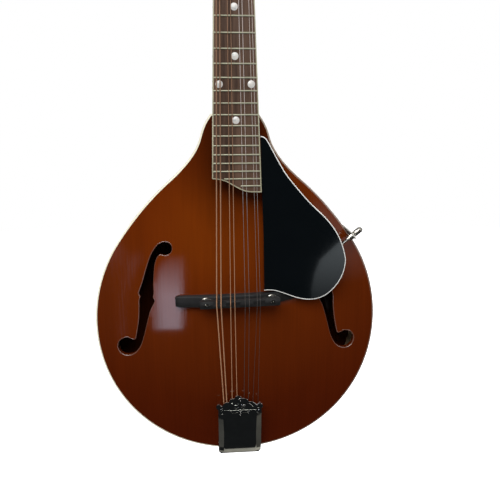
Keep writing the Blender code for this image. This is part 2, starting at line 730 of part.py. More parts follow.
def make_tuners(skins, parts, helpers):
    for sign, side in ((-1, "bass"), (1, "treble")):
        low, high = sorted((sign * 11.2, sign * 26.0))
        back = -HEAD_WOOD - 0.1
        name = f"tuner_plate_{side}"
        plate = box(name, (low, 18.0, back - 1.0), (high, 106.0, back), skins["nickel"], parts, place=head)
        ears, cuts = [], []
        for k in range(4):
            down = TUNER_FIRST + TUNER_PITCH * k
            worm = down - WORM_OFFSET
            for x in (12.6 * sign, 25.0 * sign):
                corner = (x - 0.8, worm - 3, WORM_DEPTH - 2.6)
                ears.append(box("ear", corner, (x + 0.8, worm + 3, back - 0.5), None, helpers, place=head))
            here = head(sign * 10, worm, WORM_DEPTH)
            ahead = (head(sign * 11, worm, WORM_DEPTH) - here).normalized()
            frame = Matrix.Translation(here) @ ahead.to_track_quat("Z", "Y").to_matrix().to_4x4()
            bore = turned("bore", ((0, 18), (1.56, 18), (1.56, 0), (0, 0)), frame, None, helpers, 12)
            cuts.append(solid(bore))
            cuts.append(post_hole(sign * TUNER_ACROSS, k, -20, 0, helpers))

            profile = (
                (0, 41), (3.0, 41), (5.6, 39), (6.4, 35.5), (5.6, 32), (3.2, 29.6), (2.4, 27.2),
                (1.5, 27.2), (1.5, 12.4), (2.2, 12.2), (2.2, 5.8), (1.5, 5.6), (1.5, 1.6), (0, 1.6),
            )
            turned(f"tuner_knob_{side}_{k + 1}", profile, frame, skins["pearl"], parts, 10)

            across = sign * TUNER_ACROSS
            foot = head(across, down, 0)
            frame = frame_of(foot, head(across + 1, down, 0), head(across, down + 1, 0))
            profile = (
                (0, 15), (2.9, 15), (2.9, 12), (2.4, 11), (2.4, 9.5), (3.0, 8.4), (3.0, -17.0),
                (4.9, -17.0), (4.9, -20.3), (0, -20.3),
            )
            turned(f"tuner_post_{side}_{k + 1}", profile, frame, skins["nickel"], parts, 12)
        combine(plate, ears, "UNION")
        combine(plate, cuts, "DIFFERENCE")


def make_strings(skins, parts):
    """Each string runs from its hook, over the saddle and the nut, to the side of its post."""
    nut_top = board_height(SCALE) + 1.4
    order = (0, 1, 2, 3, 3, 2, 1, 0)
    for (name, radius, nut, saddle, hook), k in zip(STRINGS, order):
        sign = -1 if nut < 0 else 1
        skin = skins["bronze"] if radius > 0.3 else skins["steel"]
        skew = saddle * math.tan(BRIDGE_SKEW)
        post_across = sign * (TUNER_ACROSS - 2.4 - radius - 0.2)
        down = TUNER_FIRST + TUNER_PITCH * k
        points = [
            at(hook, HOOK_ALONG, HOOK_HEIGHT + 0.2),
            at(saddle, skew, SADDLE_TOP + radius + 0.05),
            at(nut, SCALE + 1.7, nut_top + radius + 0.6),
            head(post_across, down, 10.2),
        ]
        rod(f"string_{name}", points, radius / 1000, skin, parts, 1)


def main():
    clear_scene()
    bpy.context.scene.unit_settings.system = "METRIC"
    parts = collection("mandolin")
    helpers = collection("cutters")
    skins = {
        "top": material("amber_top", (0.30, 0.075, 0.012), 0.15),
        "side": material("brown_lacquer", (0.16, 0.035, 0.010), 0.18),
        "cream": material("cream_binding", (0.78, 0.70, 0.52), 0.35),
        "bare": material("bare_spruce", (0.62, 0.45, 0.26), 0.8),
        "ebony": material("ebony", (0.020, 0.018, 0.018), 0.4),
        "rosewood": material("rosewood", (0.075, 0.036, 0.022), 0.5),
        "bone": material("bone", (0.80, 0.77, 0.66), 0.4),
        "black": material("black_plastic", (0.012, 0.013, 0.014), 0.12),
        "steel": material("plain_steel", (0.60, 0.60, 0.60), 0.25, 1.0),
        "nickel": material("nickel", (0.66, 0.63, 0.58), 0.2, 1.0),
        "chrome": material("chrome", (0.70, 0.70, 0.70), 0.06, 1.0),
        "brass": material("brass", (0.60, 0.42, 0.16), 0.3, 1.0),
        "bronze": material("wound_bronze", (0.50, 0.28, 0.14), 0.35, 1.0),
        "pearl": material("pearl_plastic", (0.80, 0.78, 0.72), 0.25),
    }
    make_body(skins, parts, helpers)
    make_neck(skins, parts, helpers)
    make_fretboard(skins, parts, helpers)
    make_bridge(skins, parts, helpers)
    make_tailpiece(skins, parts, helpers)
    make_guard(skins, parts, helpers)
    make_tuners(skins, parts, helpers)
    make_strings(skins, parts)
    for helper in list(helpers.objects):
        bpy.data.objects.remove(helper, do_unlink=True)


main()
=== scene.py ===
"""A teardrop mandolin: its fine surfaces and finishes, with the lights and the camera.

Lengths are in millimetres until at() or head() turns them into world metres.
A point is given as across (+ to the treble side), along (up the neck, 0 at the saddle)
and height (out of the front, 0 at the top's edge).
"""

import json
import math

import bmesh
import bpy
from mathutils import Matrix, Vector
from mathutils.bvhtree import BVHTree

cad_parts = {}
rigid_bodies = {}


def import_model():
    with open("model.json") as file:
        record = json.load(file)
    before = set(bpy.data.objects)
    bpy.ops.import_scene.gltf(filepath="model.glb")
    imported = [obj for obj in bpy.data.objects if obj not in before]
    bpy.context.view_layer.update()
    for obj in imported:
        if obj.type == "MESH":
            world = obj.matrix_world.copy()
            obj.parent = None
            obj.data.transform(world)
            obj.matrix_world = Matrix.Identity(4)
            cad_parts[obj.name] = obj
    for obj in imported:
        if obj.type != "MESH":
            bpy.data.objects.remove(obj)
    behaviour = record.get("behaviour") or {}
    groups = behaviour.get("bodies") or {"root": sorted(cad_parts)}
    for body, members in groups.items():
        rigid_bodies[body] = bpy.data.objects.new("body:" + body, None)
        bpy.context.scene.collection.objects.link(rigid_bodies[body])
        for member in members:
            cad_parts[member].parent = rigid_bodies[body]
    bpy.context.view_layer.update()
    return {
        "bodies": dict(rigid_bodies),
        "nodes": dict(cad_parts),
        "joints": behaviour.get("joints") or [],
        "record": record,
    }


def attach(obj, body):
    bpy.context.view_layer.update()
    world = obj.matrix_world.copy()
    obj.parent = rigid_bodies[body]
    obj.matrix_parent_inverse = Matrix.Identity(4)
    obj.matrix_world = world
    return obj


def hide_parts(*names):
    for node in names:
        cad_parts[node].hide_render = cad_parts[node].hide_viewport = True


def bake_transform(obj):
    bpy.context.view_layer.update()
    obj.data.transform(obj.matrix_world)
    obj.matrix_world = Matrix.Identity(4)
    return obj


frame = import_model()
NODES = frame["nodes"]

# Where the frame's origin is: the centre of the end pin's outer face
SADDLE_Z = 164.0
EDGE_Y = -23.5

# Body
SCALE = 352.4
BODY_DEPTH = 47.0
PLATE = 4.5
RIM_WALL = 3.0
BINDING = 1.6
TAIL = -151.6
WAIST = -24.3
SIDE = 127.2
NECK_JOINT = 159.0
CENTRE = (0.0, -15.0)
ROUND_REACH = (127.0, 150.0)
TOP_ARCH = (
    (0, 0), (0.05, 0.9), (0.12, 2.2), (0.25, 4.7),
    (0.4, 8.3), (0.6, 12.2), (0.8, 14.8), (0.94, 15.5), (1.0, 15.6),
)
TOP_INSIDE = (
    (0, -4.5), (0.1, -4.5), (0.14, -3.4), (0.25, -0.4),
    (0.4, 4.0), (0.6, 8.2), (0.8, 10.8), (0.94, 11.5), (1.0, 11.5),
)
OUTER_SHARES = (
    0, 0.01, 0.022, 0.035, 0.05, 0.065, 0.08, 0.1, 0.12, 0.145, 0.17, 0.2, 0.23, 0.265, 0.3,
    0.34, 0.38, 0.42, 0.47, 0.52, 0.57, 0.63, 0.69, 0.75, 0.81, 0.87, 0.92, 0.97,
)
INNER_SHARES = (0, 0.05, 0.1, 0.14, 0.19, 0.25, 0.32, 0.4, 0.5, 0.6, 0.7, 0.8, 0.9, 0.97)
BACK_SHARE = 0.84

# Neck and fretboard
BOARD_HEIGHT = 27.8
BOARD_SLOPE = 0.0718
BOARD_THICK = 5.5
NUT_WIDTH = 28.6
WIDTH_AT_22 = 41.8
BOARD_TRIM = 0.95
FRETS = 22
FRET_MARKS = (3, 5, 7, 10, 12, 15)
DOUBLE_MARK = 12
NUT_BACK = SCALE + 3.4
NUT_CROWN = 1.4
HEAD_TILT = math.radians(18.1)
HEAD_WOOD = 15.0
HEAD_VENEER = 1.5

# Strings, bass to treble: radius, then across at the nut, the saddle and the hooks, and the post
STRINGS = (
    ("g_outer", 0.50, -12.2, -19.0, -12.6, "bass_1"),
    ("g_inner", 0.50, -9.9, -15.3, -10.2, "bass_2"),
    ("d_outer", 0.32, -4.8, -7.2, -6.0, "bass_3"),
    ("d_inner", 0.32, -2.6, -3.6, -1.3, "bass_4"),
    ("a_inner", 0.20, 2.9, 5.2, 4.3, "treble_4"),
    ("a_outer", 0.20, 5.2, 8.7, 8.4, "treble_3"),
    ("e_inner", 0.16, 10.1, 15.5, 12.0, "treble_2"),
    ("e_outer", 0.16, 12.3, 18.1, 17.3, "treble_1"),
)
WOUND_FROM = 0.3
SADDLE_TOP = 32.4
HOOK_ALONG = -124.0
HOOK_HEIGHT = 7.6

# Painted light along the strings: their brightness, from the tailpiece (0) up to the nut (1)
STEEL_PAINTED_LIGHT = ((0.0, 0.10), (0.25, 0.12), (0.28, 0.22), (0.42, 0.30), (0.50, 0.8), (1.0, 1.0))
BRONZE_PAINTED_LIGHT = ((0.0, 1.0), (0.26, 0.95), (0.30, 0.72), (0.44, 0.62), (0.52, 0.42), (1.0, 0.34))

# Bridge
POST_ACROSS = (-27.5, 29.1)
BRIDGE_SKEW = math.radians(1.4)

# Tailpiece cover: its middle across, and how much further up it sits than the frame's plain one
COVER_MIDDLE = 0.6
COVER_LIFT = 1.3

# Tuners
TUNER_FIRST = 30.0
TUNER_PITCH = 23.3
TUNER_ACROSS = 19.0
WORM_OFFSET = 7.6
WORM_DEPTH = -18.65
WORM_TEETH = 15
CAPSTAN_WAIST = 2.42
PLATE_SCREWS = (
    (18.6, 21.0), (13.4, 41.7), (24.0, 41.7), (13.4, 65.0),
    (24.0, 65.0), (13.4, 88.3), (24.0, 88.3), (18.6, 103.2),
)

# Studio: the upright cards' plane and the low cards' height, then the camera, in metres
CARD_PLANE = -1.4
SWEEP_HEIGHT = -0.45
CAMERA_PLACE = (-0.02485, -0.49594, 0.29197)
CAMERA_FORWARD = (0.0768, 0.9804, -0.1815)
CAMERA_UP = (0.0222, 0.1803, 0.9834)
CAMERA_LENS = 38.79
CAMERA_SENSOR = 36.0


def at(across, along, height):
    return Vector((across, EDGE_Y - height, along + SADDLE_Z)) / 1000


def board_height(along):
    return BOARD_HEIGHT - BOARD_SLOPE * along


def fret_along(number):
    return SCALE * 2 ** (-number / 12)


def board_half(along):
    grow = (WIDTH_AT_22 - NUT_WIDTH) / (SCALE - fret_along(22))
    return (NUT_WIDTH + grow * (SCALE - along)) / 2


HEAD_HEIGHT = board_height(NUT_BACK) - BOARD_THICK - 0.1


def head(across, down, lift):
    """A point by its distance from the nut along the head, and above the head's face."""
    along = NUT_BACK + down * math.cos(HEAD_TILT) + lift * math.sin(HEAD_TILT)
    height = HEAD_HEIGHT - down * math.sin(HEAD_TILT) + lift * math.cos(HEAD_TILT)
    return at(across, along, height)


def skewed(across, along, height):
    """The bridge sits a little askew, with its bass end nearer the tail."""
    c, s = math.cos(BRIDGE_SKEW), math.sin(BRIDGE_SKEW)
    return at(across * c - along * s, across * s + along * c, height)


def frame_of(origin, x_point, y_point):
    """A matrix whose X and Y point from the origin to two given points."""
    x = (x_point - origin).normalized()
    y = (y_point - origin).normalized()
    turn = Matrix((x, y, x.cross(y))).transposed().to_4x4()
    return Matrix.Translation(origin) @ turn


def axis_frame(origin, ahead):
    """A matrix at the origin whose Z points to the point ahead."""
    turn = (ahead - origin).to_track_quat("Z", "Y").to_matrix().to_4x4()
    return Matrix.Translation(origin) @ turn


# Plane curves


def bezier(start, pull_start, pull_end, end, steps):
    """Points of a cubic curve, without its last one."""
    points = []
    for k in range(steps):
        t = k / steps
        u = 1 - t
        weights = (u**3, 3 * u * u * t, 3 * u * t * t, t**3)
        corners = (start, pull_start, pull_end, end)
        points.append(tuple(sum(w * c[i] for w, c in zip(weights, corners)) for i in (0, 1)))
    return points


def through(points, steps, closed=True):
    """A smooth curve through the given points."""
    made = []
    count = len(points)
    for k in range(count if closed else count - 1):
        if closed:
            p = [points[(k + d) % count] for d in (-1, 0, 1, 2)]
        else:
            p = [points[min(max(k + d, 0), count - 1)] for d in (-1, 0, 1, 2)]
        pull_start = tuple(p[1][i] + (p[2][i] - p[0][i]) / 6 for i in (0, 1))
        pull_end = tuple(p[2][i] - (p[3][i] - p[1][i]) / 6 for i in (0, 1))
        made += bezier(p[1], pull_start, pull_end, p[2], steps)
    return made if closed else made + [points[-1]]


def offset(points, inset):
    """A closed outline moved inwards by inset, corner by corner."""
    moved = []
    count = len(points)
    for k in range(count):
        before, here, after = points[k - 1], points[k], points[(k + 1) % count]
        one = Vector((here[0] - before[0], here[1] - before[1])).normalized()
        two = Vector((after[0] - here[0], after[1] - here[1])).normalized()
        inward = Vector((-one.y - two.y, one.x + two.x)).normalized()
        grow = inset / max(0.3, inward.dot(Vector((-one.y, one.x))))
        moved.append((here[0] + inward.x * grow, here[1] + inward.y * grow))
    return moved


def between(table, where):
    """A smooth value at where, from a table of (place, value)."""
    last = len(table) - 1
    k = 0
    while k < last - 1 and where > table[k + 1][0]:
        k += 1
    (x0, y0), (x1, y1) = table[k], table[k + 1]

    def slope(n):
        if n in (0, last):
            a, b = (0, 1) if n == 0 else (last - 1, last)
        else:
            a, b = n - 1, n + 1
        return (table[b][1] - table[a][1]) / (table[b][0] - table[a][0])

    span = x1 - x0
    t = min(max((where - x0) / span, 0), 1)
    u = 1 - t
    start, end = y0 + slope(k) * span / 3, y1 - slope(k + 1) * span / 3
    return y0 * u**3 + 3 * start * u * u * t + 3 * end * u * t * t + y1 * t**3


def linear(table, where):
    for (x0, y0), (x1, y1) in zip(table, table[1:]):
        if where <= x1:
            return y0 + (y1 - y0) * max(0, where - x0) / (x1 - x0)
    return table[-1][1]


def mirrored(half, start=0, end=None):
    """The points, then their mirror images from last to first."""
    return half + [(-x, y) for x, y in reversed(half[start:end])]


def oblong(x, y):
    """A rectangle's corners, by its half sizes."""
    return ((-x, -y), (x, -y), (x, y), (-x, y))


def body_outline():
    """The teardrop, anticlockwise from the tail."""
    half = bezier((0, TAIL), (72, TAIL), (SIDE, WAIST - 72), (SIDE, WAIST), 34)
    half += bezier((SIDE, WAIST), (SIDE, 2.1), (119.0, 28.6), (104.3, 49.9), 14)
    half += bezier((104.3, 49.9), (89.6, 71.4), (74.4, 89.0), (55.1, 105.3), 10)
    half += bezier((55.1, 105.3), (44.0, 115.2), (34.4, 126.6), (31.0, 137.0), 8)
    half += bezier((31.0, 137.0), (29.2, 143.4), (27.6, 150.2), (20.8, NECK_JOINT), 6)
    half += [(20.8, NECK_JOINT)]
    return mirrored(half, 1)


OUTLINE = body_outline()

F_HOLE = (
    (-62.6, 50.6), (-68.2, 48.6), (-72.7, 43.5), (-75.9, 37.6), (-78.7, 30.3), (-81.5, 21.5),
    (-84.0, 13.6), (-87.2, 5.4), (-86.0, 1.8), (-87.0, -1.2), (-87.3, -9.4), (-88.3, -20.2),
    (-90.2, -30.3), (-92.1, -37.4), (-95.6, -37.2), (-99.6, -35.8), (-105.8, -38.4), (-108.4, -44.4),
    (-105.9, -50.8), (-99.8, -53.4), (-92.4, -50.6), (-87.2, -43.7), (-84.2, -35.7), (-81.4, -25.5),
    (-79.2, -17.7), (-76.8, -10.0), (-72.9, -2.0), (-74.4, 1.4), (-73.5, 5.2), (-73.6, 13.3),
    (-72.9, 22.2), (-72.0, 29.6), (-69.9, 36.1), (-67.0, 39.2), (-62.4, 38.4), (-57.9, 40.6),
    (-56.2, 44.8), (-58.0, 49.0),
)

# The rounded edge of an f-hole: away from the hole, and down
LIP = (
    (-0.55, 0.3), (-0.4, -0.03), (-0.15, -0.03), (0.05, 0.04), (0.2, 0.18), (0.3, 0.4), (0.32, 0.8),
    (-0.3, 0.8),
)

# The board's cut end, from the bass edge to the treble edge
BOARD_END = (
    (-20.58, 104.9), (-17.3, 104.5), (-13.2, 103.8), (-9.1, 102.5), (-4.9, 100.2),
    (0, 97.4), (5, 94.9), (10, 93.7), (15.1, 93.4), (20.86, 93.4),
)

# The pickguard's white-edged side, from its tip round to the bridge, and its plain side
GUARD_CURVE = (
    (20.5, 139.9), (25.2, 137.6), (31.7, 126.4), (38.1, 114.8), (45.3, 104.1), (61.4, 85.4),
    (78.5, 68.6), (88.6, 54.0), (94.4, 37.4), (94.4, 27.4), (91.4, 17.8), (85.9, 9.3),
    (78.5, 2.6), (70.6, -0.9), (62.4, -1.7), (54.4, -0.5), (47.5, 1.7), (33.9, 6.8),
    (27.2, 7.8), (22.9, 7.6),
)
GUARD_EDGE = -0.8
GUARD_INNER = ((22.88, 8.4), (22.5, 54.5), (21.4, 93.0), (20.53, 138.5))


# Shapes


class Shape:
    """A mesh in the making, in world metres, with a skin number on each face."""

    def __init__(self):
        self.work = bmesh.new()

    def face(self, corners, skin):
        distinct = list(dict.fromkeys(corners))
        if len(distinct) > 2:
            self.work.faces.new(distinct).material_index = skin

    def rings(self, rings, closed=False, skins=0, caps=True):
        """Joins rings of equal count; skins is one number, or one for each gap between rings."""
        rows = [[self.work.verts.new(point) for point in ring] for ring in rings]
        pairs = list(zip(rows, rows[1:]))
        if closed:
            pairs.append((rows[-1], rows[0]))
        if isinstance(skins, int):
            skins = [skins] * len(pairs)
        count = len(rows[0])
        for (low, high), skin in zip(pairs, skins):
            for k in range(count):
                after = (k + 1) % count
                self.face((low[k], low[after], high[after], high[k]), skin)
        if not closed and caps:
            self.face(rows[0], skins[0])
            self.face(rows[-1], skins[-1])
        return self

    def turned(self, profile, frame, steps=32, skin=0, shape=None):
        """A (radius, height) profile in millimetres turned about the frame's Z."""
        closed = profile[0] == profile[-1]
        rows = []
        for radius, z in profile[:-1] if closed else profile:
            if radius < 1e-6:
                rows.append([self.work.verts.new(frame @ Vector((0, 0, z / 1000)))] * steps)
                continue
            row = []
            for k in range(steps):
                angle = 2 * math.pi * k / steps
                grow = shape(angle, radius, z) if shape else radius
                x, y = grow if isinstance(grow, tuple) else (grow, grow)
                point = Vector((x * math.cos(angle), y * math.sin(angle), z)) / 1000
                row.append(self.work.verts.new(frame @ point))
            rows.append(row)
        pairs = list(zip(rows, rows[1:])) + ([(rows[-1], rows[0])] if closed else [])
        for low, high in pairs:
            for k in range(steps):
                after = (k + 1) % steps
                self.face((low[k], low[after], high[after], high[k]), skin)
        if not closed:
            for row in (rows[0], rows[-1]):
                self.face(row, skin)
        return self

    def tube(self, points, radius, sides=8, skin=0):
        """A round wire through world points, with flat ends; radius may vary by point."""
        points = [Vector(point) for point in points]
        radii = radius if isinstance(radius, (list, tuple)) else [radius] * len(points)
        ahead = (points[1] - points[0]).normalized()
        side = ahead.orthogonal().normalized()
        rings = []
        for k, point in enumerate(points):
            before, after = points[max(k - 1, 0)], points[min(k + 1, len(points) - 1)]
            ahead = (after - before).normalized()
            side = (side - ahead * side.dot(ahead)).normalized()
            other = ahead.cross(side)
            size = radii[k] / 1000
            turn = [2 * math.pi * j / sides for j in range(sides)]
            ring = [point + (side * math.cos(a) + other * math.sin(a)) * size for a in turn]
            rings.append(ring)
        return self.rings(rings, skins=skin)

    def block(self, corners, low, high, place=at, skin=0, bevel=0.0):
        """A flat outline between two heights, with its upper and lower edges rounded."""
        levels = [(low, bevel), (low + bevel * 0.3, bevel * 0.3), (low + bevel, 0)]
        levels += [(high - bevel, 0), (high - bevel * 0.3, bevel * 0.3), (high, bevel)]
        if not bevel:
            levels = [(low, 0), (high, 0)]
        rings = []
        for height, inset in levels:
            outline = offset(corners, inset) if inset else corners
            rings.append([place(x, y, height) for x, y in outline])
        return self.rings(rings, skins=skin)

    def mesh(self):
        bmesh.ops.recalc_face_normals(self.work, faces=self.work.faces)
        made = bpy.data.meshes.new("shape")
        self.work.to_mesh(made)
        self.work.free()
        return made


def boolean(mesh, tool, operation="DIFFERENCE"):
    """The mesh with the tool's mesh cut from it or joined to it."""
    base = bpy.data.objects.new("base", mesh)
    other = bpy.data.objects.new("tool", tool)
    for temporary in (base, other):
        bpy.context.scene.collection.objects.link(temporary)
    modifier = base.modifiers.new("cut", "BOOLEAN")
    modifier.operation = operation
    modifier.object = other
    modifier.solver = "EXACT"
    bpy.context.view_layer.update()
    graph = bpy.context.evaluated_depsgraph_get()
    made = bpy.data.meshes.new_from_object(base.evaluated_get(graph))
    for temporary in (base, other):
        bpy.data.objects.remove(temporary, do_unlink=True)
    return made


def show(name, shape, skins, body="body", nodes=(), smooth=35):
    """Puts a finished piece in the scene, on its body, in place of the frame's plain nodes."""
    mesh = shape.mesh() if isinstance(shape, Shape) else shape
    mesh.materials.clear()
    for skin in (skins,) if isinstance(skins, str) else skins:
        mesh.materials.append(SKINS[skin])
    mesh.shade_smooth()
    mesh.set_sharp_from_angle(angle=math.radians(smooth))
    made = bpy.data.objects.new(name, mesh)
    bpy.context.scene.collection.objects.link(made)
    if body:
        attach(made, body)
    nodes = (nodes,) if isinstance(nodes, str) else nodes
    if nodes:
        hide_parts(*nodes)
    return made


def repaint(name, skin, bevel=0.0):
    """Gives a node of the frame its finish, and rounds its edges."""
    node = NODES[name]
    skin = SKINS[skin]
    if not node.material_slots:
        node.data.materials.append(skin)
    for holder in node.material_slots:
        holder.link = "OBJECT"
        holder.material = skin
    if bevel:
        rounding = node.modifiers.new("edges", "BEVEL")
        rounding.width = bevel / 1000
        rounding.segments = 3
        rounding.limit_method = "ANGLE"
        rounding.angle_limit = math.radians(40)
        rounding.harden_normals = False


# Finishes


class Skin:
    """A material with one Principled shader, and helpers that feed it."""

    def __init__(self, name, **settings):
        self.material = bpy.data.materials.new(name)
        self.material.use_nodes = True
        self.tree = self.material.node_tree
        self.shader = self.tree.nodes["Principled BSDF"]
        for key, value in settings.items():
            socket = self.shader.inputs[key.replace("_", " ")]
            socket.default_value = (*value, 1.0) if isinstance(value, tuple) else value

    def node(self, kind, inputs=(), **settings):
        made = self.tree.nodes.new(kind)
        for key, value in settings.items():
            setattr(made, key, value)
        for key, value in dict(inputs).items():
            if isinstance(value, bpy.types.NodeSocket):
                self.tree.links.new(value, made.inputs[key])
            else:
                made.inputs[key].default_value = value
        return made

    def place(self, scale=(1, 1, 1), shift=(0, 0, 0)):
        """Coordinates fixed to the piece, in metres, stretched by scale."""
        here = self.node("ShaderNodeTexCoord").outputs["Object"]
        inputs = {"Vector": here, "Scale": scale, "Location": shift}
        return self.node("ShaderNodeMapping", inputs).outputs["Vector"]

    def noise(self, scale, stretch=(1, 1, 1), detail=4.0, rough=0.5):
        inputs = {"Vector": self.place(stretch), "Scale": scale, "Detail": detail, "Roughness": rough}
        return self.node("ShaderNodeTexNoise", inputs).outputs["Fac"]

    def away(self, centre, reach):
        """How far a place is from the centre, as a share of the reach across and up."""
        stretch = (1 / reach[0], 0, 1 / reach[1])
        shift = (-centre[0] / reach[0], 0, -centre[1] / reach[1])
        inputs = {0: self.place(stretch, shift)}
        return self.node("ShaderNodeVectorMath", inputs, operation="LENGTH").outputs["Value"]

    def ramp(self, value, stops):
        made = self.node("ShaderNodeValToRGB", {"Fac": value})
        elements = made.color_ramp.elements
        while len(elements) < len(stops):
            elements.new(0.5)
        for element, (position, colour) in zip(elements, stops):
            element.position = position
            element.color = (*colour, 1.0)
        return made.outputs["Color"]

    def spread(self, value, low, high, start=0.0, end=1.0):
        inputs = {"Value": value, "From Min": start, "From Max": end, "To Min": low, "To Max": high}
        return self.node("ShaderNodeMapRange", inputs).outputs["Result"]

    def mix(self, share, one, two, blend="MIX"):
        made = self.node("ShaderNodeMix", data_type="RGBA", blend_type=blend)
        for socket, value in ((made.inputs[0], share), (made.inputs[6], one), (made.inputs[7], two)):
            if isinstance(value, bpy.types.NodeSocket):
                self.tree.links.new(value, socket)
            else:
                socket.default_value = (*value, 1.0) if isinstance(value, tuple) else value
        return made.outputs[2]

    def math(self, operation, one, two=0.0):
        return self.node("ShaderNodeMath", {0: one, 1: two}, operation=operation).outputs[0]

    def feed(self, name, output):
        self.tree.links.new(output, self.shader.inputs[name])
        return self

    def bump(self, height, strength, distance):
        inputs = {"Height": height, "Strength": strength, "Distance": distance / 1000}
        self.feed("Normal", self.node("ShaderNodeBump", inputs).outputs["Normal"])
        return self


def grey(value):
    return (value, value, value)


def lacquer(name, stops, centre, reach, grain=0.16, shade=None):
    """Stained wood under gloss lacquer, darker from its middle to its edges (on the top partly painted
    light); shade adds painted shade round a spot.
    """
    skin = Skin(name, Roughness=0.42, Coat_Weight=1.0, Coat_Roughness=0.07, Coat_IOR=1.5)
    skin.shader.inputs["Specular IOR Level"].default_value = 0.0
    away = skin.away(centre, reach)
    cloud = skin.spread(skin.noise(14.0, detail=2.0), -0.06, 0.06)
    # Darker from the middle outwards: the wood's sunburst colour, and on the top also painted light falling
    # off from where the key light is brightest.
    tint_and_painted_light = skin.ramp(skin.math("ADD", away, cloud), stops)
    # Painted shade: the top darkens round the shade spot, as if shaded by the fretboard beside it.
    if shade:
        near = skin.ramp(skin.away(*shade), ((0.35, grey(0.48)), (1.0, grey(1.0))))
        tint_and_painted_light = skin.mix(1.0, tint_and_painted_light, near, "MULTIPLY")
    lines = skin.noise(1.0, (900, 120, 9), detail=3.0, rough=0.6)
    tint_and_painted_light = skin.mix(grain, tint_and_painted_light, skin.ramp(lines, ((0.3, grey(0.25)), (0.7, grey(1.0)))), "MULTIPLY")
    bands = skin.noise(1.0, (130, 60, 2.2), detail=2.0)
    tint_and_painted_light = skin.mix(0.20, tint_and_painted_light, skin.ramp(bands, ((0.3, grey(0.55)), (0.7, grey(1.0)))), "MULTIPLY")
    skin.feed("Base Color", tint_and_painted_light)
    wear = skin.noise(60.0, detail=3.0)
    skin.feed("Roughness", skin.spread(wear, 0.36, 0.50))
    streaks = skin.noise(1.0, (700, 300, 14), detail=3.0, rough=0.6)
    inputs = {"Height": streaks, "Strength": 0.22, "Distance": 0.00012}
    skin.feed("Coat Normal", skin.node("ShaderNodeBump", inputs).outputs["Normal"])
    return skin.bump(skin.noise(1.0, (420, 200, 30), detail=2.0), 0.05, 0.05).material


def wood(name, dark, light, rough=0.7, stretch=(500, 300, 18), bump=0.3, shine=0.2, glow=0.0):
    skin = Skin(name, Roughness=rough, Specular_IOR_Level=shine, Emission_Strength=glow)
    lines = skin.noise(1.0, stretch, detail=5.0, rough=0.65)
    broad = skin.noise(1.0, tuple(v * 0.2 for v in stretch), detail=3.0)
    colour = skin.ramp(lines, ((0.32, dark), (0.68, light)))
    colour = skin.mix(0.45, colour, skin.ramp(broad, ((0.35, dark), (0.65, light))))
    skin.feed("Base Color", colour)
    # The glow makes the wood give off its own colour: painted light, where no lamp is.
    if glow:
        skin.feed("Emission Color", colour)
    skin.feed("Roughness", skin.spread(lines, rough - 0.12, rough + 0.08))
    return skin.bump(lines, bump, 0.12).material


def plastic(name, colour, rough, wear=0.04, coat=0.0, tint=0.9, shine=0.5):
    skin = Skin(name, Roughness=rough, Coat_Weight=coat, Coat_Roughness=0.03, Specular_IOR_Level=shine)
    cloud = skin.noise(45.0, detail=4.0)
    worn = tuple(v * tint for v in colour)
    skin.feed("Base Color", skin.ramp(cloud, ((0.35, worn), (0.65, colour))))
    scuffs = skin.noise(1.0, (500, 260, 140), detail=5.0, rough=0.7)
    skin.feed("Roughness", skin.spread(scuffs, max(0.02, rough - wear), rough + wear))
    return skin.bump(skin.noise(90.0, detail=2.0), 0.03, 0.05).material


def metal(name, colour, rough, dull=0.7, wear=0.06, fine=600.0):
    skin = Skin(name, Metallic=1.0, Roughness=rough)
    cloud = skin.noise(120.0, detail=5.0, rough=0.6)
    tarnished = tuple(v * dull for v in colour)
    skin.feed("Base Color", skin.ramp(cloud, ((0.3, tarnished), (0.6, colour))))
    marks = skin.noise(fine, detail=4.0, rough=0.7)
    skin.feed("Roughness", skin.spread(marks, max(0.02, rough - wear), rough + wear))
    return skin.bump(marks, 0.05, 0.02).material


def pearl(name):
    """Mother of pearl: pale layers that shift from warm to cool."""
    skin = Skin(name, Roughness=0.22, Coat_Weight=0.6, Coat_Roughness=0.05)
    layers = skin.noise(1.0, (420, 300, 700), detail=4.0, rough=0.6)
    stops = (
        (0.25, (0.22, 0.24, 0.25)), (0.45, (0.52, 0.53, 0.51)), (0.6, (0.62, 0.57, 0.52)),
        (0.75, (0.34, 0.38, 0.40)),
    )
    skin.feed("Base Color", skin.ramp(layers, stops))
    skin.feed("Roughness", skin.spread(layers, 0.12, 0.34))
    return skin.bump(layers, 0.1, 0.05).material


def cream_skin():
    """Cream plastic, with painted shade darkening it towards the treble side."""
    skin = Skin("cream_binding", Roughness=0.3, Coat_Weight=0.4, Coat_Roughness=0.03)
    across = skin.node("ShaderNodeSeparateXYZ", {0: skin.place()}).outputs["X"]
    cloud = skin.spread(skin.noise(45.0, detail=4.0), -0.05, 0.05)
    # Painted shade: darker towards the treble side, away from the key light; the cloud is the plastic's own
    # uneven colour.
    age_and_painted_light = skin.math("ADD", skin.spread(across, 0.0, 1.0, -0.03, 0.07), cloud)
    stops = (
        (0.0, (0.78, 0.73, 0.57)), (0.25, (0.66, 0.60, 0.45)), (0.6, (0.30, 0.23, 0.17)),
        (1.0, (0.20, 0.13, 0.10)),
    )
    skin.feed("Base Color", skin.ramp(age_and_painted_light, stops))
    skin.feed("Roughness", skin.spread(skin.noise(1.0, (500, 260, 140), detail=5.0), 0.24, 0.38))
    return skin.bump(skin.noise(90.0, detail=2.0), 0.03, 0.05).material


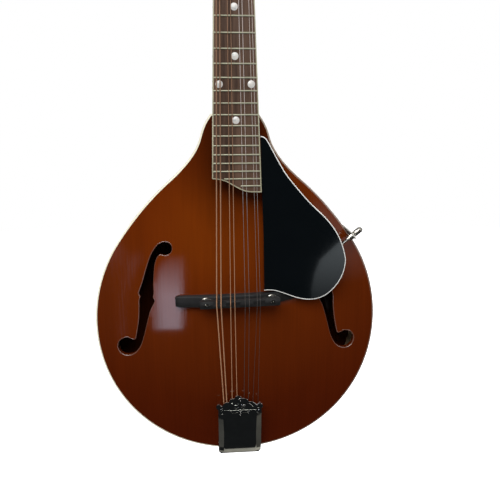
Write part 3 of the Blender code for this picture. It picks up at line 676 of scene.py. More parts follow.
def string_skin(name, colour, stops, metallic, winding=0.0):
    """String wire, lighter or darker along its length by the stops (painted light on the strings); a
    winding adds fine turns.
    """
    skin = Skin(name, Metallic=metallic, Roughness=0.4)
    height = skin.node("ShaderNodeSeparateXYZ", {0: skin.place()}).outputs["Z"]
    age_and_painted_light = skin.spread(skin.noise(70.0, detail=4.0), -0.04, 0.04)
    along = skin.math("ADD", skin.spread(height, 0.0, 1.0, 0.03, 0.53), age_and_painted_light)
    # Painted light: the stops brighten and darken the wire along its length; the noise above is random
    # unevenness.
    worn = skin.ramp(along, [(where, tuple(v * share for v in colour)) for where, share in stops])
    if winding:
        inputs = {"Vector": skin.place(), "Scale": 900.0, "Distortion": 0.4}
        turns = skin.node("ShaderNodeTexWave", inputs, bands_direction="Z").outputs["Fac"]
        worn = skin.mix(winding, worn, skin.ramp(turns, ((0.2, grey(0.5)), (0.7, grey(1.0)))), "MULTIPLY")
    skin.feed("Base Color", worn)
    skin.feed("Roughness", skin.spread(skin.noise(200.0, detail=3.0), 0.32, 0.48))
    return skin.material


def make_skins():
    # The top's ramp is partly its sunburst colour and partly painted light: brightest up and left of the
    # bridge, darker towards the bottom and the edges.
    sunburst_and_painted_light = (
        (0.0, (0.145, 0.0254, 0.0012)), (0.15, (0.141, 0.0243, 0.0012)),
        (0.30, (0.120, 0.0186, 0.0011)), (0.47, (0.106, 0.0169, 0.0014)),
        (0.70, (0.088, 0.0127, 0.0012)), (0.85, (0.075, 0.0096, 0.0009)),
        (1.0, (0.066, 0.0079, 0.0010)),
    )
    brown = ((0.0, (0.075, 0.0160, 0.0035)), (0.7, (0.050, 0.0095, 0.0024)), (1.0, (0.026, 0.0050, 0.0016)))
    # Painted shade beside the fretboard, on the top's upper part.
    painted_board_shade = ((-0.005, 0.30), (0.055, 0.085))
    return {
        "top": lacquer("amber_top", sunburst_and_painted_light, (-0.010, 0.225), (0.25, 0.19), shade=painted_board_shade),
        "brown": lacquer("brown_lacquer", brown, (0.0, 0.15), (0.2, 0.5), 0.25),
        "bare": wood("bare_spruce", (0.30, 0.19, 0.10), (0.48, 0.34, 0.20)),
        # The inside wood glows faintly: painted light standing in for light that comes in through the
        # f-holes.
        "inside": wood("inside_wood_painted_glow", (0.30, 0.19, 0.10), (0.48, 0.33, 0.19), glow=0.028),
        # The f-hole edge's pale colour is partly the bare edge of the wood and partly painted highlight,
        # lighter so the rim shows a pale line.
        "lip": plastic("hole_edge", (0.15, 0.070, 0.050), 0.16, coat=1.0, shine=1.0),
        "rosewood": wood(
            "rosewood", (0.021, 0.011, 0.007), (0.122, 0.070, 0.046), 0.5, (380, 220, 8), 0.35, 0.1,
        ),
        "ebony": wood(
            "ebony", (0.009, 0.009, 0.009), (0.019, 0.0187, 0.0183), 0.42, (24, 300, 500), 0.12, 0.15,
        ),
        "veneer": wood(
            "ebony_veneer", (0.010, 0.009, 0.009), (0.022, 0.020, 0.019), 0.18, (500, 300, 24), 0.05,
            0.5,
        ),
        "cream": cream_skin(),
        "aged": plastic("aged_binding", (0.38, 0.36, 0.24), 0.34, tint=0.7),
        "bone": plastic("bone", (0.74, 0.70, 0.58), 0.42, tint=0.86),
        "black": plastic("black_plastic", (0.0022, 0.0032, 0.0040), 0.06, 0.03, coat=0.5),
        "white": plastic("white_edge", (0.76, 0.76, 0.72), 0.28, tint=0.86),
        "dark": plastic("dark_dot", (0.012, 0.011, 0.010), 0.4),
        "nickel": metal("nickel", (0.66, 0.63, 0.56), 0.20),
        "pale": plastic("matt_nickel", (0.52, 0.51, 0.46), 0.4, tint=0.8),
        "chrome": metal("chrome", (0.74, 0.74, 0.70), 0.07, 0.85, 0.03),
        "fret": string_skin("fret_wire", (0.48, 0.48, 0.34), ((0.0, 0.8), (1.0, 1.0)), 0.3),
        "engraved": plastic("engraved_line", (0.30, 0.29, 0.22), 0.5, tint=0.6, shine=0.2),
        "steel": string_skin("plain_steel", (0.63, 0.55, 0.52), STEEL_PAINTED_LIGHT, 0.35),
        "brass": metal("brass", (0.60, 0.42, 0.16), 0.3),
        "bronze": string_skin("wound_bronze", (0.68, 0.36, 0.20), BRONZE_PAINTED_LIGHT, 0.35, 0.7),
        "pearl": pearl("pearl"),
        "button": plastic("pearl_button", (0.80, 0.78, 0.72), 0.2, coat=0.5, tint=0.8),
    }


SKINS = make_skins()


# The body


def plate_ring(edge, share, height):
    """The edge drawn in by a share of its way to the middle, growing rounder as it goes."""
    step = min(share / 0.5, 1)
    blend = 0.85 * step * step * (3 - 2 * step)
    ring = []
    for x, y in edge:
        dx, dy = x - CENTRE[0], y - CENTRE[1]
        reach = math.hypot(dx, dy)
        rounder = 1 / math.hypot(dx / reach / ROUND_REACH[0], dy / reach / ROUND_REACH[1])
        size = (1 - share) * (1 - blend + blend * rounder / reach)
        ring.append(at(CENTRE[0] + dx * size, CENTRE[1] + dy * size, height))
    return ring


def plate(over):
    """An arched plate: inside first, from its middle to its edge, then outside back again."""
    edge = offset(OUTLINE, BINDING + 0.02)
    rings = []
    inside = len(INNER_SHARES)
    for table, shares in ((TOP_INSIDE, reversed(INNER_SHARES)), (TOP_ARCH, OUTER_SHARES)):
        for share in shares:
            height = between(table, share)
            if over:
                base = 0.0 if table is TOP_ARCH else PLATE
                height = base - BODY_DEPTH - (height + base) * BACK_SHARE
            rings.append(plate_ring(edge, share, height))
    return Shape().rings(rings, skins=[1] * (inside - 1) + [0] * len(OUTER_SHARES))


def surface_of(mesh):
    """A function from (across, along) to the mesh's height towards the front."""
    work = bmesh.new()
    work.from_mesh(mesh)
    tree = BVHTree.FromBMesh(work)
    work.free()

    def height(across, along):
        start = at(across, along, 60)
        hit = tree.ray_cast(start, Vector((0, 1, 0)), 0.2)[0]
        return 0.0 if hit is None else (EDGE_Y / 1000 - hit.y) * 1000

    return height


def band(section, skins=0, outline=OUTLINE):
    """A section of (inset, height) points carried round the body's outline."""
    rings = [
        [at(x, y, z) for x, y in (offset(outline, inset) if inset else outline)]
        for inset, z in section
    ]
    return Shape().rings(rings, closed=True, skins=skins)


def make_body():
    top = plate(False).mesh()
    height = surface_of(top)
    for side in (1, -1):
        outline = [(side * x, y) for x, y in through(F_HOLE, 3)]
        cutter = Shape().rings([[at(x, y, z) for x, y in outline] for z in (-12, 24)], skins=2)
        top = boolean(top, cutter.mesh())
    show("soundboard", top, ("top", "inside", "lip"), nodes="top_plate")
    for side, name in ((1, "bass"), (-1, "treble")):
        outline = oriented([(side * x, y) for x, y in through(F_HOLE, 3)])
        heights = [height(x, y) for x, y in outline]
        rings = []
        for inset, drop in LIP:
            moved = offset(outline, inset)
            rings.append([at(x, y, z - drop) for (x, y), z in zip(moved, heights)])
        lip = Shape().rings(rings, closed=True)
        show(f"f_hole_edge_{name}", lip, "lip", nodes="top_plate", smooth=80)

    back = plate(True)
    show("back", back, ("brown", "inside"), nodes="back_plate")
    low, high = -BODY_DEPTH + PLATE, -PLATE
    section = ((0, low), (RIM_WALL, low), (RIM_WALL, high), (0, high))
    show("ribs", band(section, [1, 1, 0, 0]), ("brown", "inside"), nodes="rim")
    section = (
        (0, -PLATE), (BINDING, -PLATE), (BINDING, -0.02), (1.45, 0.02), (0.95, -0.1), (0.5, -0.38),
        (0.2, -0.8), (0.04, -1.3), (0, -2.0),
    )
    show("top_edge", band(section), "cream", nodes="top_binding")
    low = -BODY_DEPTH
    section = (
        (0, low + 0.8), (0.08, low + 0.35), (0.3, low + 0.08), (0.7, low - 0.03), (BINDING, low),
        (BINDING, low + PLATE), (0, low + PLATE),
    )
    show("back_edge", band(section), "cream", nodes="back_binding")
    for name in (
        "top_lining", "back_lining", "tone_bar_bass", "tone_bar_treble", "head_block", "tail_block",
    ):
        repaint(name, "bare")
    return height


# Neck, head and fretboard


def wood_roof(along):
    return board_height(along) - BOARD_THICK


def neck_ring(along, half, floor, roof):
    ring = []
    for k in range(29):
        angle = math.pi * k / 28
        x = half * math.copysign(abs(math.cos(angle)) ** 0.8, math.cos(angle))
        ring.append(at(x, along, roof - (roof - floor) * math.sin(angle) ** 0.8))
    return ring


def head_outline():
    half = bezier((15.2, 0), (15.2, 8), (20, 12), (29, 16), 10)
    half += bezier((29, 16), (33, 18), (33.6, 22), (33.2, 30), 7)
    half += bezier((33.2, 30), (32, 60), (30.5, 85), (31.5, 112), 8)
    half += bezier((31.5, 112), (32, 122), (35, 126), (36.5, 133), 7)
    half += bezier((36.5, 133), (37.5, 141), (28, 143), (22, 139), 9)
    half += bezier((22, 139), (16, 136), (10, 139), (0, 151), 9)
    half.append((0, 151))
    return mirrored(half, 0, -1)


def tuner_places():
    """Side sign, body name and distance down the head of each tuner."""
    for sign, side in ((-1, "bass"), (1, "treble")):
        for k in range(4):
            yield sign, f"{side}_{k + 1}", TUNER_FIRST + TUNER_PITCH * k


def circle(radius, steps, across=0.0, along=0.0):
    turn = [2 * math.pi * k / steps for k in range(steps)]
    return [(across + radius * math.cos(a), along + radius * math.sin(a)) for a in turn]


def make_neck():
    half = (
        (159.1, 19.0), (171, 18.4), (190, 18.0), (230, 17.0), (290, 15.4), (342, 14.5),
        (NUT_BACK, 14.7),
    )
    floor = (
        (159.1, -46.0), (166, -45.4), (171, -41), (176, -31), (182, -20), (190, -12.2), (202, -8.6),
        (230, -9.2), (290, -11.2), (342, -13.8), (NUT_BACK, -17.6),
    )
    stations = [159.02 + (NUT_BACK - 159.02) * k / 70 for k in range(71)]
    rings = [neck_ring(y, between(half, y), between(floor, y), wood_roof(y)) for y in stations]
    shaft = Shape().rings(rings)
    rings = []
    for along, low in ((160.5, -2.0), (150, -2.0), (130, 1.0), (118, 3.0), (111.5, 4.0)):
        roof = wood_roof(along)
        rings.append([at(x, along, z) for x, z in ((-18, low), (18, low), (18, roof), (-18, roof))])
    shaft.rings(rings)
    show("neck_shaft", shaft, "brown", nodes="neck")

    holes = Shape()
    for sign, name, down in tuner_places():
        ring = circle(3.1, 24, sign * TUNER_ACROSS, down)
        holes.rings([[head(x, y, z) for x, y in ring] for z in (-HEAD_WOOD - 3, 4)])
    pocket = ((-3.6, -3), (3.6, -3), (3.6, 13), (-3.6, 13))
    holes.rings([[head(x, y, z) for x, y in pocket] for z in (-9, 5)])
    holes = holes.mesh()
    wings = [(x, y - 2.0 if y < 0.5 else y) for x, y in head_outline()]
    slab = Shape().block(wings, -HEAD_WOOD, -HEAD_VENEER, head, bevel=1.4)
    slab = boolean(slab.mesh(), holes.copy())
    show("headstock", slab, "brown", nodes="neck")
    wings = [(x, 0.2 if y < 0.5 else y) for x, y in head_outline()]
    veneer = Shape().block(wings, -HEAD_VENEER, 0, head, bevel=0.35)
    veneer = boolean(veneer.mesh(), holes)
    show("head_veneer", veneer, "veneer", nodes="headplate")

    cover = through(((8.4, 4.4), (8.9, 9.5), (7.0, 15.5), (3.6, 20.5), (0, 26)), 6, closed=False)
    cover = [(4.6, 0.8)] + cover
    cover = mirrored(cover, 0, -1)
    plate_shape = Shape().block(cover, 0.05, 2.3, head, bevel=0.6)
    for x, y in ((-5.6, 4.6), (5.6, 4.6), (0, 21.4)):
        screw(plate_shape, head(x, y, 2.25), head(x, y, 3.25), 1.15, skin=1)
    show("rod_cover", plate_shape, ("black", "nickel"), nodes="truss_rod_cover")
    repaint("truss_rod", "steel")
    repaint("truss_rod_nut", "brass", 0.25)


def screw(shape, origin, ahead, rim, skin=0):
    """A round-headed screw with a cross slot."""
    turn = axis_frame(origin, ahead)
    profile = (
        (0, -0.4), (rim, -0.4), (rim, 0.05), (rim * 0.92, 0.22), (rim * 0.7, 0.38), (rim * 0.4, 0.45),
        (0, 0.45),
    )
    shape.turned(profile, turn, 20, skin)
    for c, s in ((1, 0), (0, 1)):
        corners = []
        for u, v in oblong(0.62, 0.12):
            corners.append((rim * (u * c - v * s), rim * (u * s + v * c)))
        rings = [[turn @ (Vector((x, y, z)) / 1000) for x, y in corners] for z in (0.3, 0.47)]
        shape.rings(rings, skins=skin)


def board_path(inset):
    """The board's edge from the nut down the bass side, round its end and up the treble side."""
    end = through(BOARD_END, 4, closed=False)
    top = SCALE - 0.05
    half = board_half(top)
    closed = [(-half, top)] + end + [(half, top)]
    moved = offset(closed, inset) if inset else closed
    return [(inset - half, top)] + moved[1:-1] + [(half - inset, top)]


def make_fretboard():
    board = Shape()
    outline = board_path(BOARD_TRIM - 0.02)
    board.rings([[at(x, y, board_height(y) - drop) for x, y in outline] for drop in (BOARD_THICK, 0)])
    show("fingerboard", board, "rosewood", nodes="fretboard")

    outer, inner = board_path(0), board_path(BOARD_TRIM)
    rings = []
    for (x0, y0), (x1, y1) in zip(outer, inner):
        mid = 0.85
        rings.append([
            at(x0, y0, board_height(y0) - BOARD_THICK), at(x1, y1, board_height(y1) - BOARD_THICK),
            at(x1, y1, board_height(y1) + 0.02),
            at(x0 * mid + x1 * (1 - mid), y0 * mid + y1 * (1 - mid), board_height(y0) + 0.02),
            at(x0, y0, board_height(y0) - 0.25),
        ])
    edge = Shape().rings(rings)
    for number in FRET_MARKS:
        y = (fret_along(number) + fret_along(number - 1)) / 2
        for shift in ((-2.6, 2.6) if number == DOUBLE_MARK else (0,)):
            x = -board_half(y + shift)
            spot = at(x + 0.3, y + shift, board_height(y) - 2.6)
            edge.turned(
                ((0, 0), (0.85, 0), (0.85, 0.34), (0, 0.36)),
                axis_frame(spot, spot + Vector((-1, 0, 0))), 16, 1,
            )
    show("board_binding", edge, ("aged", "dark"), nodes="fretboard_binding")

    frets = Shape()
    for number in range(1, FRETS + 1):
        along = fret_along(number)
        half = board_half(along) - BOARD_TRIM - 0.05
        left = {21: -10.6, 22: 3.2}.get(number, -half)
        roof = board_height(along)
        rings = []
        for x, tall in (
            (left, 0.1), (left + 0.25, 0.62), (left + 0.8, 1.0), (half - 0.8, 1.0), (half - 0.25, 0.62),
            (half, 0.1),
        ):
            section = []
            for k in range(9):
                angle = math.pi * k / 8
                lift = (tall + 0.05) * math.sin(angle)
                section.append(at(x, along + 0.62 * math.cos(angle), roof - 0.05 + lift))
            rings.append(section)
        frets.rings(rings)
    show("frets", frets, "fret", smooth=60)

    dots = Shape()
    for number in FRET_MARKS:
        y = (fret_along(number) + fret_along(number - 1)) / 2
        for x in ((-13.2, 13.2) if number == DOUBLE_MARK else (0,)):
            spot = at(x, y, board_height(y) - 0.5)
            turn = axis_frame(spot, spot + Vector((0, -1, BOARD_SLOPE)))
            dots.turned(((0, 0), (3.05, 0), (3.05, 0.5), (2.95, 0.55), (0, 0.57)), turn, 40)
    show("position_dots", dots, "pearl")

    nut_top = board_height(SCALE) + NUT_CROWN
    rings = []
    places = [(-14.5, 0.3), (-14.2, 0), (14.2, 0), (14.5, 0.3)]
    for _, radius, x, *_ in STRINGS:
        deep = 0.9 + radius * 0.5
        places += [
            (x - radius - 0.12, 0), (x - radius - 0.02, deep), (x + radius + 0.02, deep),
            (x + radius + 0.12, 0),
        ]
    for x, drop in sorted(places):
        low = wood_roof(SCALE) + 0.1
        high = nut_top + 1.5 - drop
        section = (
            (SCALE, low), (NUT_BACK, low - 0.2), (NUT_BACK, high - 1.1), (NUT_BACK - 0.5, high - 0.6),
            (SCALE + 0.9, high), (SCALE + 0.2, high - 0.1), (SCALE, high - 0.4),
        )
        rings.append([at(x, y, z) for y, z in section])
    show("slotted_nut", Shape().rings(rings), "bone", nodes="nut", smooth=25)


# Bridge


def make_bridge(height):
    wings = (
        (-54.6, 4.0, 4.4), (-51.5, 5.0, 4.9), (-40, 5.0, 5.0), (-32, 5.0, 6.3), (-14, 5.0, 7.2),
        (0, 5.0, 6.6), (14, 5.0, 7.2), (34, 5.0, 5.0), (39, 4.5, 2.4), (47, 3.2, 2.2), (55.5, 1.2, 2.0),
    )
    halves = [(w[0], w[1]) for w in wings]
    thicks = [(w[0], w[2]) for w in wings]
    rings = []
    stations = sorted({-54.6, -54.2, -53.6} | {-53 + 2 * k for k in range(54)} | {54.6, 55.2})
    for across in stations:
        half, thick = linear(halves, across), linear(thicks, across)
        middle = height(across, 0)
        near, far = height(across, -half), height(across, half)
        low_near, low_far = min(near, middle) + 0.05, min(far, middle) + 0.05
        roof = max(middle, near, far) + 0.2 + thick
        if across < -54.5:
            roof -= 0.5
        section = (
            (-half, low_near), (half, low_far), (half, roof - 1.1), (half - 0.25, roof - 0.4),
            (half - 0.9, roof), (0.9 - half, roof), (0.25 - half, roof - 0.4), (-half, roof - 1.1),
        )
        rings.append([skewed(across, along, z) for along, z in section])
    base = Shape().rings(rings)
    show("bridge_foot", base, "ebony", nodes="bridge_base")

    steps = (
        (-33.2, 0), (-22.3, 0), (-22.2, -1.5), (-11.2, -1.5), (-11.1, 1.3), (0.9, 1.3), (1.0, -0.7),
        (12.0, -0.7), (12.1, 1.6), (22.2, 1.6), (22.3, 0), (35.4, 0),
    )
    lows = (
        (-33.2, 29.0), (-32, 26.2), (-30, 25.4), (-22.5, 25.2), (-20, 28.0),
        (20, 28.0), (23, 25.2), (32, 25.3), (34, 26.2), (35.4, 29.0),
    )
    highs = ((-33.2, 31.2), (-32, 31.8), (-30, 32.1), (32, 32.1), (34, 31.8), (35.4, 31.2))
    rings = []
    for across in sorted({x for x, _ in steps} | {x for x, _ in lows} | {-29 + 3 * k for k in range(21)}):
        low, high, ridge = linear(lows, across), linear(highs, across), linear(steps, across)
        section = (
            (-3.4, low), (3.4, low), (3.4, high - 1.3), (3.1, high - 0.9), (ridge + 0.8, high - 0.1),
            (ridge + 0.3, high), (ridge - 0.3, high), (ridge - 0.8, high - 0.1), (-3.1, high - 0.9),
            (-3.4, high - 1.3),
        )
        rings.append([skewed(across, along, z) for along, z in section])
    saddle = Shape().rings(rings).mesh()
    bores = Shape()
    for across in POST_ACROSS:
        turn = frame_of(skewed(across, 0, 20), skewed(across + 1, 0, 20), skewed(across, 1, 20))
        bores.turned(((0, 0), (1.75, 0), (1.75, 16), (0, 16)), turn, 24)
    saddle = boolean(saddle, bores.mesh())
    show("saddle", saddle, "ebony", "saddle", "bridge_saddle", smooth=25)

    for across, name in zip(POST_ACROSS, ("bass", "treble")):
        foot = skewed(across, 0, 17.0)
        turn = frame_of(foot, skewed(across + 1, 0, 17.0), skewed(across, 1, 17.0))
        profile = [(0, -1.2), (1.1, -1.2), (1.45, -0.8)]
        profile += [(1.5 if k % 2 else 1.28, -0.4 + 0.35 * k) for k in range(40)]
        profile += [(1.5, 13.9), (1.5, 14.4), (1.25, 14.65), (0, 14.65)]
        post = Shape().turned(profile, turn, 24)
        slot = Shape()
        slot.rings([[turn @ (Vector((x, y, z)) / 1000) for x, y in oblong(2, 0.22)] for z in (13.9, 16)])
        post = boolean(post.mesh(), slot.mesh())
        show(f"post_{name}", post, "nickel", nodes=f"bridge_post_{name}")

        def knurl(angle, radius, z):
            return radius - (0.22 if radius > 4.5 and round(angle / (2 * math.pi) * 84) % 2 else 0)

        profile = (
            (1.6, 6.1), (1.6, 8.1), (4.5, 8.1), (4.95, 7.8), (5.0, 7.6),
            (5.0, 6.6), (4.95, 6.4), (4.5, 6.1), (1.6, 6.1),
        )
        wheel = Shape().turned(profile, turn, 84, shape=knurl)
        show(f"thumbwheel_{name}", wheel, "nickel", f"wheel_{name}", f"bridge_wheel_{name}")


# Tailpiece


def make_tailpiece():
    middle = COVER_MIDDLE
    lift = Vector((0, 0, COVER_LIFT / 1000))
    roofs = (
        (-155.6, 3.6), (-154.8, 5.0), (-153.4, 6.6), (-150, 8.9), (-142, 11.6), (-130, 14.2),
        (-116, 16.05), (-110, 16.4), (-106, 16.46),
    )
    floors = ((-155.6, 0.5), (-150, 0.5), (-142, 1.2), (-130, 3.0), (-116, 6.0), (-106, 9.4))
    rings = []
    for k in range(34):
        along = -155.5 + 49.5 * k / 33 if k else -155.6
        top, low = between(roofs, along), linear(floors, along)
        low = min(low, top - 3.4)
        outer = (
            (19.9, low), (19.9, top - 2.9), (19.75, top - 2.55), (19.3, top - 2.3), (15.4, top - 0.35),
            (14.9, top - 0.08), (14.2, top), (7, top + 0.05),
        )
        inner = ((7, top - 0.9), (14.2, top - 1.0), (18.9, top - 3.2), (18.9, low))
        right = [at(middle + x, along, z) for x, z in outer]
        left = [at(middle - x, along, z) for x, z in reversed(outer)]
        under_left = [at(middle - x, along, z) for x, z in reversed(inner)]
        under_right = [at(middle + x, along, z) for x, z in inner]
        rings.append([point + lift for point in right + left + under_left + under_right])
    cover = Shape().rings(rings)
    skirt = [(-18.5, -155.6), (18.5, -155.6), (18.5, -154.5), (-18.5, -154.5)]
    cover.block([(middle + x, y + COVER_LIFT) for x, y in skirt], -9, 4.0, bevel=0.25)
    crest = through(
        (
            (0.0, -91.8), (2.4, -92.8), (3.6, -94.6), (6.0, -94.8), (8.2, -96.0), (9.4, -98.2),
            (11.8, -98.0), (14.2, -99.6), (16.2, -101.6),
        ),
        4, closed=False,
    )
    ear = [
        (18.7 + 2.75 * math.cos(a), -102.5 + 2.75 * math.sin(a))
        for a in (2.2, 1.7, 1.2, 0.7, 0.2, -0.3, -0.8, -1.3)
    ]
    crest = crest + ear + [(19.5, -106.4), (19.4, -110.0)]
    crest = mirrored(crest, 1)
    crest = oriented([(middle + x - 0.13 * (y + 105), y + COVER_LIFT) for x, y in crest])
    cover.block(crest, 15.4, 16.42, bevel=0.3)
    for points in ornament(middle):
        radii = [0.15 * min(1, 0.5 + min(k, len(points) - 1 - k) / 3) for k in range(len(points))]
        cover.tube([at(x, y + COVER_LIFT, 16.42) for x, y in points], radii, 8, 1)
    show("tail_cover", cover, ("chrome", "engraved"), "cover", "tailpiece_cover", smooth=22)
    repaint("tailpiece_base", "chrome", 0.25)

    hooks = Shape()
    for _, _, _, _, hook, _ in STRINGS:
        curve = [
            (HOOK_ALONG + 1.0, 6.0), (HOOK_ALONG + 1.0, 7.0), (HOOK_ALONG + 0.4, 8.3),
            (HOOK_ALONG - 0.8, 8.9), (HOOK_ALONG - 2.2, 8.7), (HOOK_ALONG - 3.2, 8.0),
        ]
        hooks.tube([at(hook, y, z) for y, z in curve], 0.75, 10)
    show("string_hooks", hooks, "chrome")

    origin = at(0, -SADDLE_Z, -BODY_DEPTH / 2)
    turn = axis_frame(origin, origin + Vector((0, 0, 1)))
    profile = (
        (0, 26), (3.2, 26), (3.6, 25.4), (3.75, 10.6), (4.9, 10.4), (5.2, 10.1), (5.1, 9.4), (4.6, 7.6),
        (4.4, 6.2), (4.6, 5.0), (5.3, 3.6), (5.9, 2.6), (6.0, 2.0), (5.95, 1.3), (5.6, 0.5),
        (5.0, 0.02), (3.0, 0), (0, 0),
    )
    show("strap_pin", Shape().turned(profile, turn, 48), "black", nodes="end_pin")


def oriented(points):
    """The outline, anticlockwise."""
    area = sum(
        points[k - 1][0] * points[k][1] - points[k][0] * points[k - 1][1]
        for k in range(len(points))
    )
    return points if area > 0 else list(reversed(points))


def spiral(x, y, start, end, turn_from, turns, side, steps=26):
    points = []
    for k in range(steps + 1):
        t = k / steps
        radius = start + (end - start) * t
        angle = turn_from + 2 * math.pi * turns * t
        points.append((x + side * radius * math.cos(angle), y + radius * math.sin(angle)))
    return points


def ornament(middle):
    """Mirrored leaf scrolls: a pair of spirals, a pair of arcs, curls by the ears and three drops."""
    lines = []

    def bent(arc):
        return [(middle + side * x, y) for x, y in through(arc, 5, closed=False)]

    for side in (-1, 1):
        lines.append(spiral(middle + side * 3.4, -102.2, 2.6, 0.5, math.pi * 0.62, 1.35, side))
        arc = [(4.8, -98.6), (7.6, -99.4), (10.4, -101.4), (12.4, -104.0), (12.0, -106.0)]
        lines.append(bent(arc))
        arc = [(1.6, -107.6), (4.2, -108.6), (7.2, -108.2), (9.4, -106.2)]
        lines.append(bent(arc))
        lines.append(spiral(middle + side * 16.3, -105.2, 1.6, 0.4, -math.pi * 0.4, 1.1, side, 16))
        arc = [(14.4, -107.0), (15.6, -109.0), (17.2, -109.4)]
        lines.append(bent(arc))
    for x, y in ((0, -95.8), (0, -106.4), (0, -109.6)):
        turn = [k * math.pi / 8 for k in range(17)]
        lines.append([(middle + x + 0.8 * math.cos(a), y + 1.1 * math.sin(a)) for a in turn])
    return lines


# Pickguard and its clamp


def guard_height(across, along):
    return 17.2 + 0.015 * (140 - along) - 0.01 * (across - 22)


def make_guard():
    curve = through(GUARD_CURVE, 5, closed=False)
    inset = offset(curve + [(22.5, 54.5)], GUARD_EDGE)[1:-2]
    inner = [GUARD_INNER[-1]] + inset + [GUARD_INNER[0]]
    rings = []
    for (x0, y0), (x1, y1) in zip(curve, inner):
        xm, ym = x0 * 0.75 + x1 * 0.25, y0 * 0.75 + y1 * 0.25
        section = ((x0, y0, 2.2), (x1, y1, 2.2), (x1, y1, 0.0), (xm, ym, 0.05), (x0, y0, 0.35))
        rings.append([at(x, y, guard_height(x, y) - drop) for x, y, drop in section])
    show("guard_edge", Shape().rings(rings), "white", nodes="pickguard")
    field = oriented(inner + list(GUARD_INNER[1:-1]))
    rings = []
    for drop, shrink in ((2.18, 0), (0.12, 0), (0.0, 0.12)):
        outline = offset(field, shrink) if shrink else field
        rings.append([at(x, y, guard_height(x, y) - drop) for x, y in outline])
    plate_shape = Shape().rings(rings)
    block = ((86.5, 39.5), (92.5, 39.5), (92.5, 46.5), (86.5, 46.5))
    plate_shape.block(block, 10.0, guard_height(92, 40) - 1.0, bevel=0.4)
    show("guard", plate_shape, "black", nodes="pickguard")

    start = Vector((89.5, 44.3, 12.8))
    out = Vector((0.80, 0.60, -0.10)).normalized()

    def spindle(shape, profile, steps=32):
        here = at(*start)
        return shape.turned(profile, axis_frame(here, at(*(start + out))), steps)

    rod = Shape()
    profile = [(0, 1.3), (1.3, 1.3)] + [(1.5 if k % 2 else 1.32, 1.6 + 0.4 * k) for k in range(22)]
    profile += [
        (1.5, 10.4), (2.5, 10.5), (2.9, 10.9), (2.9, 11.6), (2.5, 12.0), (2.1, 12.2), (2.1, 12.5),
        (2.9, 12.8), (3.0, 13.2), (3.0, 15.2), (2.7, 15.4), (1.45, 15.45), (1.45, 24.75), (1.9, 24.8),
        (2.1, 25.1), (1.9, 25.6), (1.3, 26.0), (0, 26.2),
    ]
    spindle(rod, profile)
    show("clamp_bolt", rod, "nickel", nodes="clamp_rod")

    barrel = Shape()
    profile = (
        (1.55, 17.3), (2.3, 17.3), (2.6, 17.6), (2.7, 17.9), (2.6, 18.2), (2.4, 18.4), (2.5, 18.7),
        (2.6, 19.2), (2.6, 22.6), (2.5, 23.0), (2.2, 23.2), (2.2, 23.4), (2.6, 23.6), (2.7, 23.9),
        (2.55, 24.4), (2.2, 24.65), (1.55, 24.65), (1.55, 17.3),
    )
    spindle(barrel, profile, steps=48)
    show("clamp_nut", barrel, "nickel", "barrel", "clamp_barrel")
    repaint("clamp_foot", "pale", 0.3)


# Tuners


